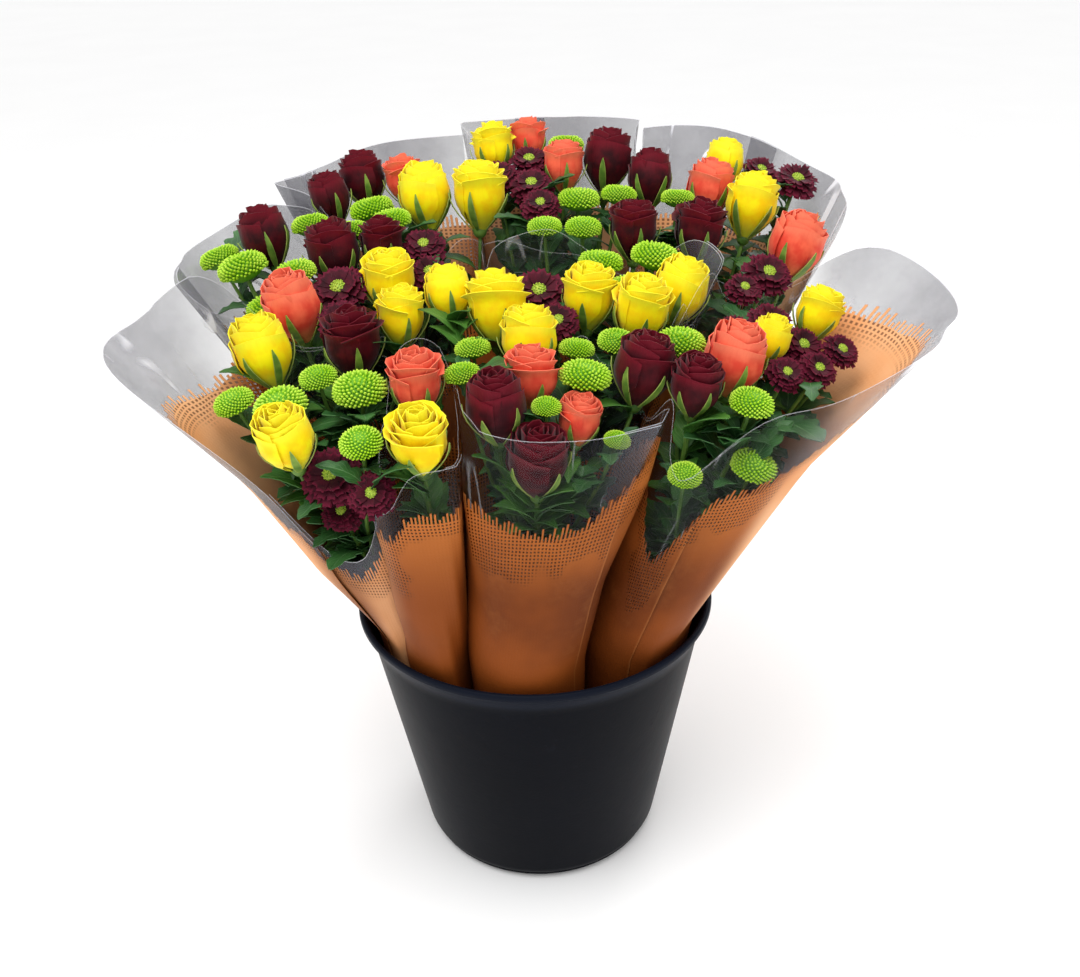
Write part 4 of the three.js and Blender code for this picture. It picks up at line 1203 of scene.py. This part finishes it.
def leaf_finish(name, dark, light, vein):
    finish, place, sheet = new_finish(name, Roughness=0.42, Specular_IOR_Level=0.45)
    across, along = sheet.part("X"), sheet.part("Y")
    away = abs(across - 0.5)
    rib = 1 - away.rise(0.008, 0.035)
    comb = (along * 9 - away * 5).math("FRACT")
    side_veins = 1 - abs(comb - 0.5).rise(0.02, 0.1)
    lines = rib.math("MAXIMUM", side_veins * 0.55)
    cloud = place.noise(45, 3).rise(0.3, 0.7)
    dress(
        finish, Base_Color=(lines * 0.6).blend(cloud.blend(dark, light), vein),
        Roughness=0.36 + cloud * 0.18, Normal=(place.noise(300, 2) * 0.3 - lines).bump(0.0005, 0.5),
    )
    return finish


rose_leaf = leaf_shape(lobed=False, columns=4, rows=16)
small_rose_leaf = leaf_shape(lobed=False, columns=2, rows=9)
daisy_leaf = leaf_shape(lobed=True, columns=4, rows=16)
small_daisy_leaf = leaf_shape(lobed=True, columns=2, rows=9)
rose_leaf_green = leaf_finish(
    "rose_leaf_green", dark=colour(36, 84, 24), light=colour(70, 122, 40), vein=colour(122, 160, 84))
daisy_leaf_green = leaf_finish(
    "daisy_leaf_green", dark=colour(32, 74, 34), light=colour(56, 106, 48), vein=colour(104, 144, 92))


# Each spray, grown together as one piece: the round green stem and branches, the blooms on their ends
# and the leaves along them. The stem stands on the bucket's floor, held by the rubber band.
STEM_TIP_RADIUS = 1.9
stem_green, place, _ = new_finish("stem_green", Roughness=0.5, Specular_IOR_Level=0.35)
shade = place.noise(40, 3)
dress(
    stem_green, Base_Color=shade.rise(0.3, 0.7).blend(colour(58, 96, 34), colour(104, 140, 58)),
    Roughness=0.45 + shade * 0.15, Normal=place.noise(500, 2).bump(0.0003, 0.4),
)


def stalk_shape(path, thick, thin, sides=7):
    """A round stalk along a path, thinner towards its end."""
    stalk = new_shape()
    bmesh.ops.create_cone(
        stalk, cap_ends=True, segments=sides, radius1=1, radius2=1, depth=1, calc_uvs=True,
    )
    upright = [edge for edge in stalk.edges if abs(edge.verts[0].co.z - edge.verts[1].co.z) > 0.5]
    last = len(path) - 1
    bmesh.ops.subdivide_edges(stalk, edges=upright, cuts=last - 1, use_grid_fill=True)
    frames = []
    across = np.array([1.0, 0, 0])
    for i in range(len(path)):
        along = unit(path[min(i + 1, last)] - path[max(i - 1, 0)])
        across = unit(across - along * (across @ along))
        frames.append((across, np.cross(along, across)))
    for point in stalk.verts:
        i = round((point.co.z + 0.5) * last)
        one, other = frames[i]
        radius = thick + (thin - thick) * i / last
        point.co = path[i] + (one * point.co.x + other * point.co.y) * radius
    return stalk


bloom_meshes = dict(
    yellow_rose=rose_meshes, coral_rose=rose_meshes, burgundy_rose=rose_meshes,
    green_button=button_meshes, burgundy_daisy=daisy_meshes,
)
bloom_stands = dict(
    yellow_rose=ROSE_STAND, coral_rose=ROSE_STAND, burgundy_rose=ROSE_STAND,
    green_button=BUTTON_STAND, burgundy_daisy=DAISY_STAND,
)
heart_finishes = dict(green_button=button_heart, burgundy_daisy=heart_green)
chance = random.Random(11)
for spray in sprays:
    kind = spray["kind"]
    grown = stalk_shape(spray["smooth_stem"], STEM_RADIUS, STEM_TIP_RADIUS)
    for face in grown.faces:
        face.material_index = 1
    for branch in spray["branches"]:
        add_to(grown, stalk_shape(branch, BRANCH_RADIUS, BRANCH_RADIUS), 1)
    for head in spray["heads"]:
        facing = Vector(head["facing"])
        if kind == "burgundy_daisy":
            facing = (facing + Vector(DAISY_TURN)).normalized()
        turn = Vector((0, 0, 1)).rotation_difference(facing).to_matrix().to_4x4()
        spin = Matrix.Rotation(chance.uniform(0, 2 * math.pi), 4, "Z")
        size = Matrix.Scale(head["size"] * bloom_stands[kind], 4)
        lie = Matrix.Translation(head["base"]) @ turn @ spin @ size
        add_copy(grown, chance.choice(bloom_meshes[kind]), lie)
    rose = "rose" in kind
    large, small = (rose_leaf, small_rose_leaf) if rose else (daisy_leaf, small_daisy_leaf)
    for leaf, lies in ((large, spray["leaves"]), (small, spray["small_leaves"])):
        for axes, root in lies:
            lie = Matrix.Translation(root) @ Matrix(axes).transposed().to_4x4()
            add_copy(grown, leaf, lie, 2)
    finishes = [
        petal_finishes[kind], stem_green, rose_leaf_green if rose else daisy_leaf_green,
        heart_finishes.get(kind, sepal_green),
    ]
    make_piece("grown_" + spray["name"], grown, finishes, kind, spray["name"])


# The rubber bands: one soft tan band stretched round each bunch's stems, a little below the rim, so
# out of sight.
BAND_HEIGHT = 199
BAND_THICKNESS = 2.2
BAND_WIDTH = 6
rubber, place, _ = new_finish("tan_rubber", Roughness=0.65)
shade = place.noise(120, 3)
dress(
    rubber, Base_Color=shade.blend(colour(164, 118, 62), colour(196, 150, 88)),
    Normal=place.noise(800, 2).bump(0.0002, 0.5),
)
for name, bunch in BUNCHES.items():
    band = new_shape()
    ring = bmesh.ops.create_circle(band, radius=1, segments=10)["verts"]
    bmesh.ops.rotate(band, verts=ring, matrix=Matrix.Rotation(math.pi / 2, 3, "X"))
    bmesh.ops.scale(band, vec=(BAND_THICKNESS / 2, 1, BAND_WIDTH / 2), verts=ring)
    bmesh.ops.translate(band, vec=(bunch["tied"] + 2 * SEAT_GAP + BAND_THICKNESS / 2, 0, 0), verts=ring)
    bmesh.ops.spin(
        band, geom=band.verts[:] + band.edges[:], cent=(0, 0, 0), axis=(0, 0, 1), angle=2 * math.pi,
        steps=28, use_merge=True,
    )
    bmesh.ops.recalc_face_normals(band, faces=band.faces)
    bmesh.ops.translate(band, vec=(*bunch_centre(bunch, BAND_HEIGHT), BAND_HEIGHT), verts=band.verts)
    make_piece(name + "_rubber_band", band, [rubber], "rubber_band", name + "_band")


# The sleeves: one sheet of clear film rolled round each bunch into a cone, with its edges lapped. It
# is printed orange below, and the print ends in a woven pattern with a fringe. Above it the film is
# clear and a little misty, with painted highlights on its creases and cut edges. Light and shade are
# painted into the print too: lighter high up and where the film flares far out, a painted highlight
# along the lapped edge, and painted shade, darker low down and in the weave's gaps.
FILM_COLUMNS = 120
FILM_ROWS = 26
FILM_LAP = math.radians(16)
FILM_THICKNESS = 0.3
LAP_TUCK = 1.4
LAP_LIFT = 2.4
LAP_FROM = 0.92
PINCHES = 5
PINCH_WIDTH = 0.11
FULL_RISE = 250
FULL_REACH = 200
WEAVE_PITCH = 3
WEAVE_LEVEL = 400
PRINT_DROP = dict(front=84, left=66, right=66, back=88)
HIGH_PRINT = dict(
    front=dict(right=20), front_left=dict(level=386), left=dict(level=350, left=52),
    right=dict(right=30, back=60), back_right=dict(right=40),
)
NOTCH_PRINT_DROP = 24
SEAM_AT = dict(front=-54, right=-118, front_left=-70)
SEAM_FROM_OUTSIDE = 24
FILM_LAYERS = ("drop", "mist", "below_edge", "hem")


def printed_film():
    """Clear film, printed orange. The sheet's layers say how far a spot is from each edge."""
    film, place, sheet = new_finish("printed_film", Specular_IOR_Level=0.16, IOR=1.5)
    drop, mist, below_edge, hem = (
        sheet.node("Attribute", {"attribute_name": layer}, {}, out=2) for layer in FILM_LAYERS
    )
    around, height = sheet.part("X"), sheet.part("Y")
    flow = (place.noise(20, 2) - 0.5) * 0.006

    def in_pitches(reading):
        return (reading + flow) * (1 / (WEAVE_PITCH * MM))

    def threads(reading, thin, thick):
        return 1 - abs(in_pitches(reading).math("FRACT") - 0.5).rise(thin, thick)

    number = in_pitches(around).math("FLOOR")
    length = number.node("TexWhiteNoise", {"noise_dimensions": "1D"}, {"W": number})
    warp, weft = threads(around, 0.2, 0.3), threads(height, 0.17, 0.27)
    woven = warp.math("MAXIMUM", weft)
    below = below_edge + (place.noise(11, 2) - 0.5) * 0.03
    fringe = (below + 0.002 + length * 0.008).rise(0, 0.0012) * warp
    body = below.rise(0, 0.0012)
    worn = place.noise(17, 2).rise(0.41, 0.6)
    wing_backlight_and_less_wear = mist.rise(0.1, 0.34)
    solid = (below - 0.003 - worn * (1 - wing_backlight_and_less_wear * 0.7) * 0.042).rise(0, 0.016)
    cloth = woven.math("MAXIMUM", solid)
    inked = fringe.math("MAXIMUM", body * (0.55 + cloth * 0.45))

    # Painted highlights: a thin line along the cut edge and thin lines along wrinkles are made more opaque
    # here and painted near white below, for light caught by the film's cut edge and creases.
    edge = 1 - drop.rise(0.0002, 0.0009)
    stretched = sheet.node("Mapping", {}, {"Vector": sheet, "Scale": (24, 4, 1)})
    ridge = stretched.noise(1, 1, 0.5) - 0.5
    wrinkled = place.noise(15, 2).rise(0.5, 0.6)
    creases = (1 - abs(ridge).rise(0.003, 0.011)) * wrinkled * (0.3 + mist * 2)
    cloud = place.noise(22, 4, 0.65)
    clear = mist * (0.7 + cloud * 0.6) + edge * 0.2 + creases * 0.4

    patchy = place.noise(11, 3).rise(0.35, 0.65)
    # Painted light and shade: the print is painted lighter orange high up, where light falls from above,
    # and darker brown low down, in the shade.
    lit = place.part("Z").rise(0.3, 0.42)
    tone = patchy.blend(colour(134, 66, 18), colour(98, 44, 8))
    tone = lit.blend(tone, patchy.blend(colour(196, 114, 50), colour(168, 92, 36)))
    tone = (cloud.rise(0.5, 0.75) * 0.3).blend(tone, colour(166, 96, 44))
    # Painted backlight: where the film flares far out, the print is painted a pale, light orange, as if
    # light shone through it. The same mask also makes the print there less worn.
    tone = wing_backlight_and_less_wear.blend(tone, patchy.blend(colour(240, 182, 134), colour(232, 160, 104)))
    # Painted highlight: the lapped outer edge and a thin line beside it are painted a lighter orange,
    # where the edge catches the light.
    lap_edge_highlight_line = hem.rise(0.0004, 0.0008) * (1 - hem.rise(0.0012, 0.0022))
    folded = lap_edge_highlight_line * 0.3 + (1 - hem.rise(0.0002, 0.0006))
    tone = (folded * 0.6).blend(tone, colour(186, 118, 64))
    # Painted shade: the gaps between the woven threads are painted dark brown, for the shaded inside of
    # the sleeve seen through them.
    threads_over_gap_shade = (0.25 + cloth * 0.75).blend(colour(74, 36, 14), tone)
    # Near white where the painted highlights of the cut edge and creases fall.
    painted_glints = (edge + creases).math("MINIMUM", 1)
    glass = mist.rise(0.06, 0.2).blend(colour(74, 75, 78), colour(112, 111, 119))
    glass = painted_glints.blend(glass, colour(232, 232, 238))
    dress(
        film, Base_Color=inked.rise(0.05, 0.5).blend(glass, threads_over_gap_shade),
        Alpha=(clear + inked).math("MINIMUM", 1),
        Roughness=0.16 + inked * 0.46,
        Normal=(place.noise(14, 1) * 2 + woven * body * 0.12).bump(0.0012, 0.4),
    )
    return film


def print_drop(name, angle, top):
    """How far below the cut edge the print ends, by the side that the film faces there."""
    drops = {**PRINT_DROP, **HIGH_PRINT.get(name, {})}
    printed = drops["back" if math.sin(angle) > 0 else "front"]
    printed += (drops["right" if math.cos(angle) > 0 else "left"] - printed) * math.cos(angle) ** 4
    if "level" in drops:
        printed = max(NOTCH_PRINT_DROP, min(printed, top - drops["level"]))
    return printed


def mistiness(bunch, angle, outward):
    """How misty the film is: most where it leans out at the back and sides, and by a notch."""
    facing = max(math.sin(angle), math.cos(angle) ** 2)
    leaning = min(1, max(0, outward - 0.65) / 0.35) ** 0.7
    notch = 0
    if "notch" in bunch:
        notch = swell(angle, math.radians(bunch["notch"][0] + 20), 0.7)
    return 0.06 + 0.42 * leaning * facing + 0.2 * notch


film_finish = printed_film()
for name, bunch in BUNCHES.items():
    outside = math.degrees(math.atan2(bunch["rim"][1], bunch["rim"][0]))
    seam = math.radians(SEAM_AT.get(name, outside + SEAM_FROM_OUTSIDE))
    chance = random.Random(name)
    ripple = [(chance.randrange(3, 9), chance.uniform(0, 6), chance.uniform(0.3, 1)) for _ in range(3)]
    pinches = [(chance.uniform(-math.pi, math.pi), chance.uniform(1, 2.4)) for _ in range(PINCHES)]
    turns = np.array([*CUT_ANGLES, 2 * math.pi])
    ring = np.array([film_point(bunch, WEAVE_LEVEL, angle) for angle in turns])
    girth = np.append(0, np.cumsum(np.linalg.norm(np.diff(ring, axis=0), axis=1)))
    sheet = new_shape()
    bmesh.ops.create_grid(sheet, x_segments=FILM_COLUMNS, y_segments=FILM_ROWS, size=1)
    layers = {layer: sheet.verts.layers.float.new(layer) for layer in FILM_LAYERS}
    weave = {}
    for point in sheet.verts:
        s, t = (point.co.x + 1) / 2, (point.co.y + 1) / 2
        angle = seam + s * (2 * math.pi + FILM_LAP)
        top = float(cut_height(bunch, angle))
        z = SLEEVE_FOOT + (top - SLEEVE_FOOT) * t
        above = max(0, z - RIM_HEIGHT) / FULL_RISE
        x, y, _ = film_point(bunch, z, angle)
        outward = max(0, (math.cos(angle) * x + math.sin(angle) * y) / FULL_REACH)
        folds = sum(depth * (1 + math.sin(waves * angle + phase)) for waves, phase, depth in ripple)
        folds += sum(depth * above * swell(angle, at, PINCH_WIDTH) for at, depth in pinches)
        tucked = LAP_TUCK * max(0, 1 - 8 * s)
        lifted = LAP_LIFT * max(0, (s - LAP_FROM) / (1 - LAP_FROM)) ** 2 * min(1, above * 3)
        inset = folds * above * min(1, outward + 0.15) + tucked - lifted
        point.co = film_point(bunch, z, angle, inset)
        round_trips, part = divmod(angle, 2 * math.pi)
        length = round_trips * girth[-1] + np.interp(part, turns, girth)
        weave[point] = (length * MM, z * MM)
        drop = (top - z) * math.hypot(1, 0.6 * above)
        point[layers["drop"]] = drop * MM
        point[layers["mist"]] = mistiness(bunch, angle, outward)
        point[layers["below_edge"]] = (drop - print_drop(name, angle, top)) * MM
        point[layers["hem"]] = (1 - s) * girth[-1] * MM
    uv = sheet.loops.layers.uv.active
    for face in sheet.faces:
        for corner in face.loops:
            corner[uv].uv = weave[corner.vert]
    thicken(sheet, FILM_THICKNESS)
    make_piece(name + "_film", sheet, [film_finish], "printed_film", name + "_sleeve", crease=70)
